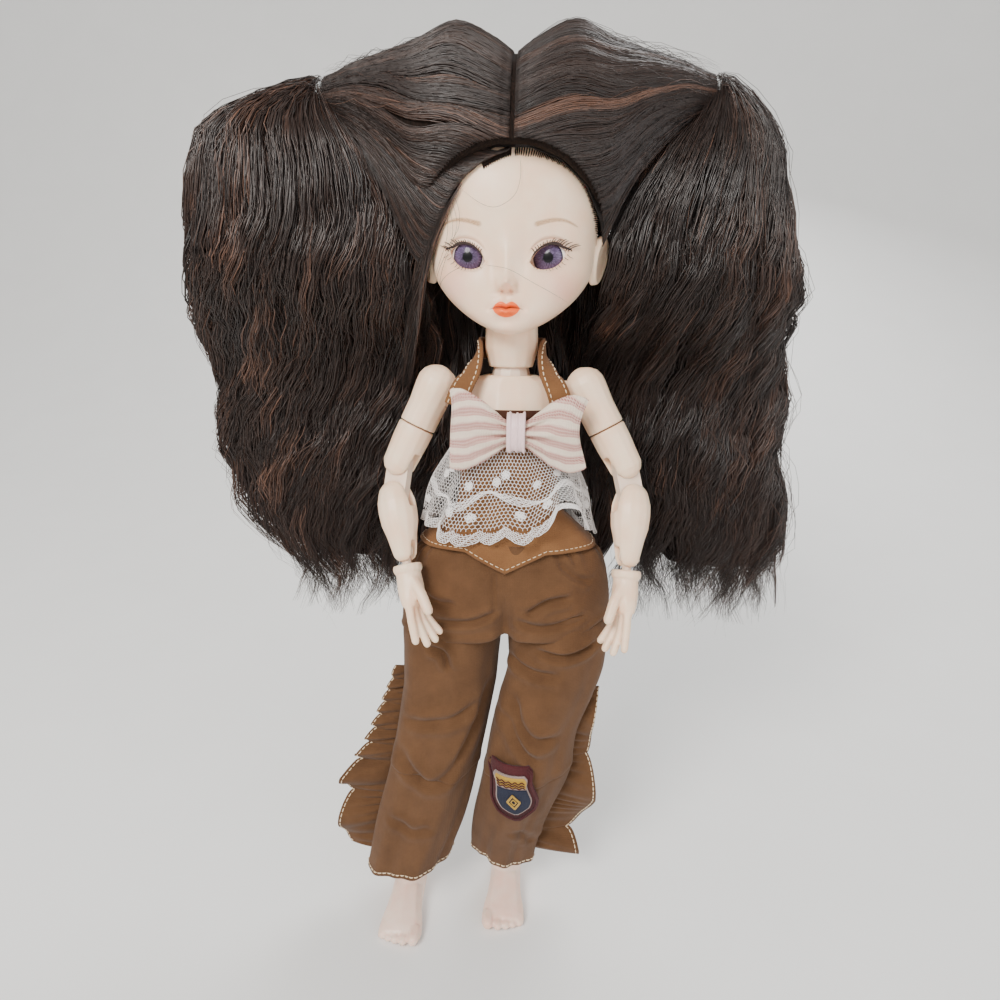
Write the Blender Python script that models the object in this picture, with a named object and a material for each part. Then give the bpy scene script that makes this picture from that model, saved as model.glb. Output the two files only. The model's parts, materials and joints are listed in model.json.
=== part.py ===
"""Ball jointed doll, about 300 mm tall, built from separate pieces on real joints.

Frame: +Z up, the doll stands with its soles on Z = 0 and faces -Y, so its own right is -X.
Every limb is modelled straight down its own -Z in a frame whose origin is on its joint.
"""
from math import acos, atan2, cos, exp, pi, radians, sin, sqrt, tan

import bmesh
import bpy
from mathutils import Matrix, Vector

MM = 0.001
RIGHT = -1
LEFT = 1
SIDES = {"R": RIGHT, "L": LEFT}

# Clearances
running_gap = 0.4 * MM
cloth_gap = 0.5 * MM
overrun = 6 * MM

# Facet counts
limb_sides = 14
leg_sides = 12
ball_sides = 12
head_sides = 26
cover_sides = 18
crown_sides = 18
cloth_sides = 20
pin_sides = 8
finger_sides = 6
bow_sides = 12
leg_cloth_rows = 5

# Standing pose
ankle_height = 17 * MM
right_leg_lean = radians(13)
left_leg_lean = radians(6)
right_leg_step = radians(-1)
left_leg_step = radians(3.9)
right_knee_half_bend = radians(2)
right_arm_out = radians(25)
left_arm_out = radians(29)
right_elbow_half_bend = radians(20)
left_elbow_half_bend = radians(17)
arm_twist = radians(70)
arm_forward = radians(9)

# Trunk
hip_spacing = 26 * MM
thigh_length = 57 * MM
shin_length = 57 * MM
hip_to_waist = 40 * MM
waist_to_shoulder = 44.5 * MM
shoulder_spacing = 51 * MM
shoulder_to_neck_ball = 3 * MM
neck_setback = 2 * MM
chest_half_width = 17.2 * MM
chest_half_depth = 11.5 * MM
pelvis_half_width = 20 * MM
pelvis_half_depth = 12.5 * MM
crotch_half_width = 2.9 * MM
crotch_half_depth = 7.5 * MM
crotch_drop = 5 * MM
waist_ball_radius = 8.5 * MM
waist_band = 4 * MM
neck_ball_radius = 6.8 * MM
neck_band = 3.4 * MM
cup_wall = 1.6 * MM

# Neck and head
neck_radius = 8.8 * MM
neck_length = 24 * MM
neck_flange_radius = 10.4 * MM
neck_flange_height = 3 * MM
chin_drop = 10 * MM
head_height = 68 * MM
head_half_width = 27.4 * MM
head_depth = 48 * MM
head_wall = 3 * MM
head_floor = 9.5 * MM
head_seat = 12 * MM
nose_reach = 3.6 * MM
lip_reach = 1.8 * MM
ear_height = 14 * MM
ear_depth = 7 * MM
ear_width = 5 * MM
eye_radius = 7 * MM
eye_spacing = 24.8 * MM
eye_above_chin = 23.6 * MM
eye_inset = 10.8 * MM
eye_opening_width = 12 * MM
eye_opening_height = 8.6 * MM
parting_tilt = radians(37)
parting_above_chin = 46 * MM

# Shoulders and arms
shoulder_dome_radius = 7.3 * MM
shoulder_disc_radius = 5 * MM
shoulder_disc_thickness = 3.2 * MM
shoulder_shaft_radius = 2.1 * MM
shoulder_shaft_length = 5 * MM
upper_arm_length = 35.5 * MM
upper_arm_radius = 6.5 * MM
upper_arm_split = 15.5 * MM
arm_peg_radius = 3.2 * MM
arm_peg_length = 4.4 * MM
elbow_end_radius = 6 * MM
elbow_disc_radius = 4.2 * MM
elbow_disc_thickness = 3.4 * MM
forearm_length = 30 * MM
forearm_radius = 6.8 * MM
wrist_end_radius = 4.3 * MM
wrist_disc_radius = 2.6 * MM
wrist_disc_thickness = 2.6 * MM
wrist_stem_radius = 1.6 * MM
wrist_stem_length = 9 * MM
hinge_pin_radius = 1.1 * MM
hand_collar_radius = 5.2 * MM
hand_collar_height = 2.6 * MM
palm_length = 12 * MM
palm_half_width = 5.8 * MM
palm_half_thickness = 3.5 * MM
finger_radius = 1.65 * MM
finger_length = 14.5 * MM
thumb_radius = 2.1 * MM
thumb_length = 12 * MM

# Hips and legs
hip_dome_radius = 9 * MM
hip_disc_radius = 6.2 * MM
hip_disc_thickness = 4 * MM
hip_shaft_radius = 2.6 * MM
thigh_radius = 8.9 * MM
thigh_split = 26 * MM
leg_peg_radius = 4.4 * MM
leg_peg_length = 6 * MM
knee_end_radius = 6.8 * MM
knee_disc_radius = 4.8 * MM
knee_disc_thickness = 4.4 * MM
knee_pin_radius = 1.5 * MM
calf_radius = 7.8 * MM
ankle_ball_radius = 5 * MM
ankle_band = 4.6 * MM
foot_length = 40 * MM
foot_half_width = 8.6 * MM
heel_behind_ankle = 14 * MM
toe_radius = 2.1 * MM

# Wig
wig_thickness = 1 * MM
wig_gap = 0.8 * MM
hair_wall = 1.6 * MM
crown_reach = 61 * MM
crown_height = 31 * MM
crown_half_depth = 27 * MM
tie_radius = 7.5 * MM
tie_band = 1.2 * MM
tie_above_chin = 72 * MM
hairline_radius = 29.5 * MM
hairline_above_chin = 24.5 * MM
hairline_depth = 5 * MM
bunch_length = 176 * MM
bunch_reach = 116 * MM
bunch_half_depth = 20 * MM
bunch_drop_back = 26 * MM
back_hair_length = 148 * MM
back_hair_half_width = 31 * MM
back_hair_half_depth = 3.2 * MM

# Vest, straps, lace and bow
cloth_thickness = 1 * MM
vest_top_drop = 7.5 * MM
vest_length = 47 * MM
vest_point = 7 * MM
strap_width = 7 * MM
strap_rise = 16.5 * MM
strap_neck_reach = 11.6 * MM
lace_thickness = 0.9 * MM
lace_top_drop = 19 * MM
lace_length = 30 * MM
lace_half_width = 29.5 * MM
lace_half_depth = 20 * MM
lace_wave = 1.5 * MM
lace_waves = 8
bow_half_width = 22.5 * MM
bow_half_height = 13 * MM
bow_half_thickness = 3.2 * MM
bow_drop = 13.5 * MM
bow_shift = 1.5 * MM
bow_pleat = 0.5 * MM
bow_pleats = 8
knot_half_width = 3 * MM
knot_wall = 1.3 * MM

# Trousers
trouser_waist_drop = 8 * MM
trouser_waist_half_width = 26 * MM
trouser_waist_half_depth = 15 * MM
seat_half_width = 36 * MM
seat_half_depth = 16.6 * MM
seat_below_hip = 6 * MM
leg_half_width = 15.6 * MM
leg_half_depth = 14.5 * MM
leg_side_ease = 6 * MM
right_hem_height = 23 * MM
left_hem_height = 20.5 * MM
fold_depth = 0.6 * MM
folds_round_leg = 5
ruffle_width = 16.7 * MM
ruffle_wave = 2.6 * MM
ruffle_thickness = 0.9 * MM
lower_ruffle_waves = 5
upper_ruffle_waves = 3
badge_width = 17 * MM
badge_height = 23 * MM
badge_thickness = 0.9 * MM
badge_above_hem = 45 * MM
badge_beside_axis = 4 * MM
badge_tilt = radians(-9)

# Colours and finishes: colour, roughness, metallic
FINISHES = {
    "skin": ((0.87, 0.75, 0.65), 0.45, 0.0),
    "joint_plastic": ((0.85, 0.73, 0.62), 0.5, 0.0),
    "eye_acrylic": ((0.26, 0.17, 0.42), 0.1, 0.0),
    "hair": ((0.045, 0.026, 0.02), 0.4, 0.0),
    "wig_net": ((0.02, 0.015, 0.012), 0.8, 0.0),
    "elastic": ((0.7, 0.72, 0.72), 0.3, 0.0),
    "brown_cotton": ((0.2, 0.09, 0.045), 0.9, 0.0),
    "white_lace": ((0.85, 0.84, 0.8), 0.9, 0.0),
    "striped_twill": ((0.75, 0.5, 0.45), 0.9, 0.0),
    "pink_satin": ((0.8, 0.55, 0.55), 0.4, 0.0),
    "badge_felt": ((0.1, 0.06, 0.1), 0.9, 0.0),
}

# Derived heights
elbow_link_length = 2 * elbow_end_radius + 2 * running_gap
knee_link_length = 2 * knee_end_radius + 2 * running_gap
bending_length = thigh_length + shin_length - knee_link_length
right_leg_reach = bending_length * cos(right_knee_half_bend) + knee_link_length
leg_drop = right_leg_reach * cos(right_leg_lean) * cos(right_leg_step)
left_leg_reach = leg_drop / (cos(left_leg_lean) * cos(left_leg_step))
left_knee_half_bend = acos((left_leg_reach - knee_link_length) / bending_length)
hip_z = ankle_height + leg_drop
LEG_LEAN = {RIGHT: right_leg_lean, LEFT: left_leg_lean}
LEG_STEP = {RIGHT: right_leg_step, LEFT: left_leg_step}
HEM_HEIGHT = {RIGHT: right_hem_height, LEFT: left_hem_height}
KNEE_HALF_BEND = {RIGHT: right_knee_half_bend, LEFT: left_knee_half_bend}
ARM_OUT = {RIGHT: right_arm_out, LEFT: left_arm_out}
ELBOW_HALF_BEND = {RIGHT: right_elbow_half_bend, LEFT: left_elbow_half_bend}


def clear_scene():
    for item in list(bpy.data.objects):
        bpy.data.objects.remove(item, do_unlink=True)


def finish(name):
    """A Principled material for one piece, in the finish of its kind."""
    colour, roughness, metallic = FINISHES[name]
    material = bpy.data.materials.new(name)
    material.use_nodes = True
    shader = material.node_tree.nodes["Principled BSDF"]
    shader.inputs["Base Color"].default_value = (*colour, 1.0)
    shader.inputs["Roughness"].default_value = roughness
    shader.inputs["Metallic"].default_value = metallic
    return material


def pivot(name, parent=None, place=(0, 0, 0), turn=None):
    """An empty that stands on a joint's centre and carries the pieces of one body."""
    empty = bpy.data.objects.new(name, None)
    bpy.context.collection.objects.link(empty)
    empty.parent = parent
    empty.matrix_local = Matrix.Translation(place) @ (turn or Matrix.Identity(4))
    return empty


def turn_x(angle):
    return Matrix.Rotation(angle, 4, "X")


def turn_y(angle):
    return Matrix.Rotation(angle, 4, "Y")


def turn_z(angle):
    return Matrix.Rotation(angle, 4, "Z")


def mesh_object(name, mesh_builder, parent, material):
    """Make an object from a bmesh whose faces are turned outward."""
    if mesh_builder.calc_volume(signed=True) < 0:
        bmesh.ops.reverse_faces(mesh_builder, faces=mesh_builder.faces)
    mesh = bpy.data.meshes.new(name)
    mesh_builder.to_mesh(mesh)
    mesh_builder.free()
    mesh.shade_smooth()
    mesh.set_sharp_from_angle(angle=radians(40))
    solid = bpy.data.objects.new(name, mesh)
    bpy.context.collection.objects.link(solid)
    solid.parent = parent
    if material:
        mesh.materials.append(finish(material))
    return solid


def loft(name, rings, parent, material):
    """Join rings of points into one closed solid. A ring of one point is a pole."""
    builder = bmesh.new()
    rows = [[builder.verts.new(point) for point in ring] for ring in rings]
    for upper, lower in zip(rows, rows[1:]):
        count = max(len(upper), len(lower))
        for index in range(count):
            after = (index + 1) % count
            corners = [upper[index % len(upper)]]
            if len(upper) > 1:
                corners.append(upper[after])
            if len(lower) > 1:
                corners.append(lower[after])
            corners.append(lower[index % len(lower)])
            builder.faces.new(corners)
    for row in (rows[0][::-1], rows[-1]):
        if len(row) > 1:
            builder.faces.new(row)
    return mesh_object(name, builder, parent, material)


def closed_loft(name, rings, parent, material):
    """Join rings into a hollow tube whose last ring meets its first, such as a sleeve."""
    builder = bmesh.new()
    rows = [[builder.verts.new(point) for point in ring] for ring in rings]
    for row_index, upper in enumerate(rows):
        lower = rows[(row_index + 1) % len(rows)]
        for index in range(len(upper)):
            after = (index + 1) % len(upper)
            builder.faces.new((upper[index], upper[after], lower[after], lower[index]))
    return mesh_object(name, builder, parent, material)


def slab(name, grid, thickness, parent, material):
    """Thicken a grid of (point, normal) pairs into a closed sheet behind its face."""
    builder = bmesh.new()
    front = [[builder.verts.new(point) for point, _ in row] for row in grid]
    back = [[builder.verts.new(point - normal * thickness) for point, normal in row] for row in grid]
    last_row = len(grid) - 1
    last_column = len(grid[0]) - 1
    for r in range(last_row):
        for c in range(last_column):
            builder.faces.new((front[r][c], front[r][c + 1], front[r + 1][c + 1], front[r + 1][c]))
            builder.faces.new((back[r][c], back[r + 1][c], back[r + 1][c + 1], back[r][c + 1]))
    for r in range(last_row):
        builder.faces.new((front[r][0], front[r + 1][0], back[r + 1][0], back[r][0]))
        builder.faces.new((front[r + 1][-1], front[r][-1], back[r][-1], back[r + 1][-1]))
    for c in range(last_column):
        builder.faces.new((front[0][c + 1], front[0][c], back[0][c], back[0][c + 1]))
        builder.faces.new((front[-1][c], front[-1][c + 1], back[-1][c + 1], back[-1][c]))
    return mesh_object(name, builder, parent, material)


def oval(z, half_width, half_depth, sides, x=0.0, y=0.0, power=2.0):
    """A level ring of points round (x, y) at height z, a superellipse of the given power."""
    if half_width == 0:
        return [Vector((x, y, z))]
    ring = []
    for index in range(sides):
        angle = 2 * pi * index / sides
        across = cos(angle)
        along = sin(angle)
        reach = (abs(across) ** power + abs(along) ** power) ** (-1 / power)
        ring.append(Vector((x + half_width * across * reach, y + half_depth * along * reach, z)))
    return ring


def arc(radius, start, stop, steps, centre_z=0.0):
    """(radius, height) pairs along a sphere's outline between two elevations in degrees."""
    pairs = []
    for step in range(steps + 1):
        elevation = radians(start + (stop - start) * step / steps)
        reach = radius * cos(elevation)
        if abs(abs(elevation) - pi / 2) < radians(1):
            reach = 0
        pairs.append((reach, centre_z + radius * sin(elevation)))
    return pairs


def turned(name, pairs, parent, material, sides=limb_sides, y=0.0):
    """A solid of revolution about Z from (radius, height) pairs, pole to pole."""
    rings = [oval(height, radius, radius, sides, y=y) for radius, height in pairs]
    return loft(name, rings, parent, material)


def elevation_of(radius, height):
    """The elevation in degrees at which a sphere's surface is at the given height."""
    return 180 / pi * atan2(height, sqrt(radius * radius - height * height))


def block(name, low, high, parent):
    """A plain box between two corners, used as a cutter or joined to a piece."""
    corners = [(low[0], low[1]), (high[0], low[1]), (high[0], high[1]), (low[0], high[1])]
    rings = [[Vector((x, y, z)) for x, y in corners] for z in (low[2], high[2])]
    return loft(name, rings, parent, None)


def rod(name, start, stop, radius, parent, sides=pin_sides):
    """A plain round bar between two points."""
    start = Vector(start)
    stop = Vector(stop)
    turn = (stop - start).to_track_quat("Z", "Y").to_matrix()
    rings = []
    for end in (start, stop):
        rings.append([end + turn @ point for point in oval(0, radius, radius, sides)])
    return loft(name, rings, parent, None)


def combine(target, other, operation):
    """Cut or join another solid with an exact Boolean and keep that solid as a wire guide."""
    modifier = target.modifiers.new(other.name, "BOOLEAN")
    modifier.operation = operation
    modifier.solver = "EXACT"
    modifier.object = other
    other.hide_render = True
    other.display_type = "WIRE"


def cut(target, other):
    combine(target, other, "DIFFERENCE")


def join(target, other):
    combine(target, other, "UNION")


def ball(name, radius, parent, material, sides=ball_sides):
    return turned(name, arc(radius, 90, -90, sides // 2), parent, material, sides)


# Trunk

pelvis_share_rows = [
    # height above the hips over the waist height, width, depth
    (0.90, 0.50, 0.84),
    (0.72, 0.72, 0.92),
    (0.50, 0.94, 1.00),
    (0.30, 1.00, 1.00),
]


def make_pelvis(parent):
    """Hip block with a socket for the waist ball above and a keel between the thighs."""
    ledge = hip_dome_radius + 2 * running_gap
    cup_radius = waist_ball_radius + running_gap
    rim = -waist_band / 2
    rim_radius = sqrt(cup_radius ** 2 - rim ** 2)
    rings = []
    for radius, height in arc(cup_radius, -90, elevation_of(cup_radius, rim), 5, hip_to_waist):
        rings.append(oval(height, radius, radius, limb_sides))
    rings.append(oval(hip_to_waist + rim, rim_radius + cup_wall, rim_radius + cup_wall, limb_sides))
    for height, width, depth in pelvis_share_rows:
        place = ledge + (hip_to_waist + rim - ledge) * height
        rings.append(oval(place, pelvis_half_width * width, pelvis_half_depth * depth, limb_sides))
    rings.append(oval(ledge, pelvis_half_width, pelvis_half_depth, limb_sides))
    rings.append(oval(ledge, crotch_half_width, crotch_half_depth, limb_sides, power=4))
    rings.append(oval(-crotch_drop / 2, crotch_half_width, crotch_half_depth, limb_sides, power=4))
    rings.append(oval(-crotch_drop, crotch_half_width, crotch_half_depth / 2, limb_sides, power=4))
    pelvis = loft("pelvis", rings, parent, "skin")
    bore = hip_shaft_radius + running_gap
    reach = crotch_half_width + overrun
    cut(pelvis, rod("hip_bore", (-reach, 0, 0), (reach, 0, 0), bore, parent, limb_sides))
    return pelvis


chest_share_rows = [
    # height between the two rims, width, depth
    (0.13, 0.73, 0.88),
    (0.35, 0.86, 0.95),
    (0.57, 0.98, 1.08),
    (0.76, 1.00, 1.00),
    (0.90, 0.99, 0.84),
    (0.965, 0.84, 0.78),
]


def make_chest(parent):
    """Chest with a cup for the waist ball below, one for the neck ball above and shaft bores."""
    low_cup = waist_ball_radius + running_gap
    low_rim = waist_band / 2
    low_rim_radius = sqrt(low_cup ** 2 - low_rim ** 2)
    high_cup = neck_ball_radius + running_gap
    neck_z = waist_to_shoulder + shoulder_to_neck_ball
    high_rim = neck_z + neck_band / 4
    high_rim_radius = sqrt(high_cup ** 2 - (neck_band / 4) ** 2)
    rings = []
    for radius, height in arc(low_cup, 90, elevation_of(low_cup, low_rim), 5):
        rings.append(oval(height, radius, radius, limb_sides))
    rings.append(oval(low_rim, low_rim_radius + cup_wall, low_rim_radius + cup_wall, limb_sides))
    for height, width, depth in chest_share_rows:
        place = low_rim + (high_rim - low_rim) * height
        y = neck_setback * height
        rings.append(oval(place, chest_half_width * width, chest_half_depth * depth, limb_sides, y=y))
    rim = high_rim_radius + cup_wall
    rings.append(oval(high_rim, rim, rim, limb_sides, y=neck_setback))
    for radius, height in arc(high_cup, elevation_of(high_cup, neck_band / 4), -90, 5, neck_z):
        rings.append(oval(height, radius, radius, limb_sides, y=neck_setback))
    chest = loft("chest", rings, parent, "skin")
    for side in SIDES.values():
        bore_end = side * (chest_half_width - shoulder_shaft_length - running_gap)
        mouth = side * (chest_half_width + overrun)
        bore = rod("shoulder_bore", (bore_end, 0, waist_to_shoulder), (mouth, 0, waist_to_shoulder),
                   shoulder_shaft_radius + running_gap, parent)
        cut(chest, bore)
    return chest


cup_edge_share = 0.7
neck_root_share = 1.04
neck_root_rise_share = 0.7
neck_shaft_share = 0.65
flange_bevel_share = 0.6


def make_neck(parent):
    """Neck column: a cup over the neck ball, a slim shaft and the flange inside the head."""
    cup_radius = neck_ball_radius + running_gap
    rim = neck_band
    rim_radius = sqrt(cup_radius ** 2 - rim ** 2)
    flange_low = neck_length - chin_drop + head_seat + running_gap
    pairs = arc(cup_radius, 90, elevation_of(cup_radius, rim), 4)
    pairs.append((rim_radius + cup_wall * cup_edge_share, rim))
    pairs.append((neck_radius * neck_root_share, rim + neck_radius * neck_root_rise_share))
    pairs.append((neck_radius, flange_low * neck_shaft_share))
    pairs.append((neck_radius, flange_low))
    pairs.append((neck_flange_radius, flange_low))
    pairs.append((neck_flange_radius, flange_low + neck_flange_height * flange_bevel_share))
    pairs.append((neck_flange_radius * flange_bevel_share, flange_low + neck_flange_height))
    pairs.append((0, flange_low + neck_flange_height))
    return turned("neck_post", pairs, parent, "skin", limb_sides)


# Head

head_share_rows = [
    # height, half width, front, back, as shares of height, half width and depth
    (0.015, 0.17, -0.395, -0.20),
    (0.05, 0.37, -0.430, -0.02),
    (0.09, 0.53, -0.440, 0.10),
    (0.125, 0.64, -0.440, 0.19),
    (0.16, 0.735, -0.440, 0.26),
    (0.20, 0.82, -0.440, 0.33),
    (0.235, 0.88, -0.440, 0.37),
    (0.275, 0.93, -0.438, 0.42),
    (0.33, 0.962, -0.432, 0.46),
    (0.40, 0.978, -0.428, 0.50),
    (0.48, 1.00, -0.432, 0.53),
    (0.58, 1.00, -0.434, 0.55),
    (0.68, 0.975, -0.420, 0.54),
    (0.78, 0.89, -0.368, 0.50),
    (0.87, 0.745, -0.285, 0.42),
    (0.94, 0.53, -0.165, 0.31),
    (0.985, 0.27, -0.045, 0.185),
]
face_power = 2.25
face_crowding = 0.55
head_crown_share = 0.065
chin_tip_share = -0.31
face_middle_share = 0.46
face_front_share = 0.44
eye_setback = face_front_share * head_depth - eye_inset


def crowded_angle(index, sides, crowding):
    """Angles round the head from +X, crowded towards the face at -Y."""
    even = 2 * pi * index / sides
    return even - crowding * cos(even)


def bump(value, centre, spread):
    return exp(-((value - centre) / spread) ** 2)


def face_relief(x, z):
    """How far the nose, lips, chin and eye hollows stand out of the plain face."""
    share = z / head_height
    across = x / head_half_width
    nose = nose_reach * bump(share, 0.225, 0.045) * bump(across, 0, 0.10)
    bridge = nose_reach * 0.3 * bump(share, 0.31, 0.08) * bump(across, 0, 0.09)
    lips = lip_reach * bump(share, 0.125, 0.03) * bump(across, 0, 0.18)
    hollow = lip_reach * 0.8 * bump(share, 0.365, 0.06) * bump(abs(across), 0.47, 0.2)
    return nose + bridge + lips - hollow


def head_ring(row, grow=0.0, sides=head_sides, crowding=face_crowding):
    """One level ring of the head, grown outward by a wall or a gap."""
    height, width, front, back = row
    z = height * head_height
    half_width = width * head_half_width + grow
    front_y = front * head_depth - grow
    back_y = back * head_depth + grow
    middle_y = front_y + (back_y - front_y) * face_middle_share
    ring = []
    for index in range(sides):
        angle = crowded_angle(index, sides, crowding)
        across = cos(angle)
        along = sin(angle)
        reach = (abs(across) ** face_power + abs(along) ** face_power) ** (-1 / face_power)
        depth = back_y - middle_y if along > 0 else middle_y - front_y
        x = half_width * across * reach
        y = middle_y + depth * along * reach
        if along < 0 and not grow:
            y -= face_relief(x, z)
        ring.append(Vector((x, y, z)))
    return ring


def head_solid(name, parent, material):
    """The whole head as a closed egg."""
    rings = [[Vector((0, chin_tip_share * head_depth, 0))]]
    rings += [head_ring(row) for row in head_share_rows]
    rings.append([Vector((0, head_crown_share * head_depth, head_height))])
    return loft(name, rings, parent, material)


def skull_cover(name, parent, material, grow, lowest):
    """A plainer egg that stands off the skull by grow, from the ring numbered lowest upward."""
    rings = [head_ring(row, grow, cover_sides, 0.0) for row in head_share_rows[lowest:]]
    rings.append([Vector((0, head_crown_share * head_depth, head_height + grow))])
    return loft(name, rings, parent, material)


def head_cavity(parent):
    """Egg-shaped hollow of the head, whose floor carries the neck flange."""
    half_height = (head_height - head_floor - head_wall) / 2
    centre = head_floor + half_height
    rings = []
    for radius, height in arc(1.0, -90, 90, 9):
        rings.append(oval(centre + half_height * height, (head_half_width - head_wall) * radius,
                          (head_depth / 2 - head_wall) * radius, ball_sides,
                          y=head_crown_share * head_depth))
    return loft("head_cavity", rings, parent, None)


def parting_block(name, parent, above, shift):
    """A big box on one side of the slanting line where the head cap comes off."""
    size = head_height + head_depth
    low = (-size, -size, shift if above else -size)
    high = (size, size, size if above else -shift)
    box = block(name, low, high, parent)
    box.matrix_local = Matrix.Translation((0, 0, parting_above_chin)) @ turn_x(-parting_tilt)
    return box


def ear(side, parent):
    """A small upright egg that stands out of the side of the head."""
    rings = []
    for radius, height in arc(1.0, -90, 90, 6):
        rings.append(oval(eye_above_chin + ear_height / 2 * height, ear_width / 2 * radius,
                          ear_depth / 2 * radius, finger_sides, x=side * head_half_width))
    return loft("ear_form", rings, parent, None)


def eye_window(side, parent):
    """The lid opening, cut straight back through the face."""
    rings = []
    for y in (-head_depth, -eye_setback):
        rings.append([Vector((x, y, z)) for x, z, _ in
                      oval(0, eye_opening_width / 2, eye_opening_height / 2, ball_sides,
                           x=side * eye_spacing / 2, y=eye_above_chin)])
    return loft("eye_window", rings, parent, None)


def make_head(parent):
    """Face shell, head cap and the two eyes, with the neck hole in the floor."""
    cavity = head_cavity(parent)
    face = head_solid("face_shell", parent, "skin")
    for side in SIDES.values():
        join(face, ear(side, parent))
    cut(face, cavity)
    cut(face, parting_block("above_parting", parent, True, 0.0))
    hole = neck_radius + running_gap
    seat_top = head_seat + neck_flange_height + 2 * running_gap
    cut(face, rod("neck_hole", (0, 0, -overrun), (0, 0, seat_top), hole, parent, limb_sides))
    cut(face, rod("neck_seat", (0, 0, head_seat), (0, 0, seat_top), neck_flange_radius + running_gap,
                  parent, limb_sides))
    for name, side in SIDES.items():
        centre = Vector((side * eye_spacing / 2, -eye_setback, eye_above_chin))
        seat = ball("eye_seat", eye_radius + running_gap, parent, None, 14)
        seat.location = centre
        cut(face, seat)
        cut(face, eye_window(side, parent))
        eye = ball("eye_" + name, eye_radius, parent, "eye_acrylic", 14)
        eye.location = centre
    cap = head_solid("head_cap", parent, "skin")
    cut(cap, cavity)
    cut(cap, parting_block("below_parting", parent, False, -running_gap))


# Wig

crown_share_rows = [
    # reach to the side, height above the ties, half height, half depth, all as shares
    (-1.0, 0.0, 0.20, 0.22),
    (-0.84, -0.03, 0.33, 0.42),
    (-0.64, -0.18, 0.58, 0.70),
    (-0.48, -0.35, 0.83, 0.90),
    (-0.28, -0.40, 1.02, 0.99),
    (0.0, -0.55, 0.92, 1.0),
    (0.28, -0.40, 1.02, 0.99),
    (0.48, -0.35, 0.83, 0.90),
    (0.64, -0.18, 0.56, 0.70),
    (0.84, -0.03, 0.33, 0.42),
    (1.0, 0.0, 0.20, 0.22),
]
bunch_root = crown_reach + tie_band + 2 * running_gap
bunch_top_share = 0.33
bunch_share_rows = {
    # height from top to bottom, inner and outer edge from the tie outward, drop back, half depth
    RIGHT: [
        (0.03, 0.015, 0.518, 0.0, 0.45),
        (0.11, 0.004, 0.737, 0.0, 0.78),
        (0.17, -0.226, 0.803, 0.0, 0.9),
        (0.26, -0.51, 0.847, 0.05, 1.0),
        (0.38, -0.565, 0.891, 0.16, 1.0),
        (0.54, -0.663, 0.978, 1.0, 0.88),
        (0.72, -0.642, 0.956, 1.0, 0.8),
        (0.88, -0.51, 0.759, 0.92, 0.62),
        (1.0, -0.269, 0.343, 0.85, 0.36),
    ],
    LEFT: [
        (0.03, 0.015, 0.19, 0.0, 0.34),
        (0.11, 0.004, 0.322, 0.0, 0.6),
        (0.18, -0.226, 0.387, 0.0, 0.86),
        (0.27, -0.51, 0.442, 0.05, 0.96),
        (0.39, -0.565, 0.54, 0.16, 1.0),
        (0.55, -0.642, 0.65, 1.0, 0.88),
        (0.73, -0.576, 0.737, 1.0, 0.8),
        (0.88, -0.357, 0.825, 0.92, 0.58),
        (1.0, 0.015, 0.737, 0.85, 0.3),
    ],
}
back_hair_share_rows = [
    # height from top to bottom, half width, setback from the skull's back
    (0.0, 0.70, 0.0),
    (0.10, 0.92, 0.0),
    (0.28, 0.92, -0.02),
    (0.42, 0.82, -0.10),
    (0.6, 0.82, -0.16),
    (0.85, 0.82, -0.14),
    (1.0, 0.66, -0.12),
]


def make_crown(parent):
    """Hair drawn from the parting to both ties, hollowed over the wig cap and open at the face."""
    rings = []
    for reach, height, half_height, half_depth in crown_share_rows:
        x = reach * crown_reach
        z = tie_above_chin + height * crown_height
        rings.append([Vector((x, head_crown_share * head_depth + y, z + upright))
                      for upright, y, _ in oval(0, half_height * crown_height,
                                                half_depth * crown_half_depth, crown_sides)])
    crown = loft("hair_crown", rings, parent, "hair")
    cut(crown, skull_cover("under_crown", parent, None, wig_gap + wig_thickness + wig_gap / 2, 6))
    window_z = hairline_above_chin
    cut(crown, rod("face_window", (0, -head_depth, window_z), (0, hairline_depth, window_z),
                   hairline_radius, parent, crown_sides))
    return crown


def make_wig_cap(parent):
    """Thin net cap over the skull, cut off along the hairline and at the nape."""
    cap = skull_cover("wig_cap", parent, "wig_net", wig_gap + wig_thickness, 10)
    cut(cap, skull_cover("under_wig", parent, None, wig_gap, 8))
    window_z = hairline_above_chin
    cut(cap, rod("cap_window", (0, -head_depth, window_z), (0, hairline_depth, window_z),
                 hairline_radius, parent, crown_sides))
    return cap


def bunch_rings(side, inset, rows):
    """Level rings down one bunch, drawn in by the wall where inset is above zero."""
    rings = []
    top = tie_above_chin + crown_height * bunch_top_share
    spread = bunch_reach - bunch_root
    for height, inner, outer, back, depth in rows:
        middle = side * (bunch_root + spread * (inner + outer) / 2)
        half_width = spread * (outer - inner) / 2 - inset
        y = neck_setback + back * bunch_drop_back + head_crown_share * head_depth
        rings.append(oval(top - height * bunch_length, half_width, bunch_half_depth * depth - inset,
                          limb_sides, x=middle, y=y, power=2.3))
    return rings


def make_bunch(name, side, parent):
    """One loose bunch of hair, a hanging bell with a thin wall that is open below."""
    rows = bunch_share_rows[side]
    outside = bunch_rings(side, 0.0, rows)
    inside = bunch_rings(side, hair_wall, rows[1:])
    top_ring = outside[0]
    crest = sum(top_ring, Vector()) / len(top_ring)
    hollow_top = sum(inside[0], Vector()) / len(inside[0])
    lift = Vector((0, 0, hair_wall))
    rings = [[crest + lift]] + outside + inside[::-1] + [[hollow_top + lift]]
    return loft("hair_bunch_" + name, rings, parent, "hair")


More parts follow.
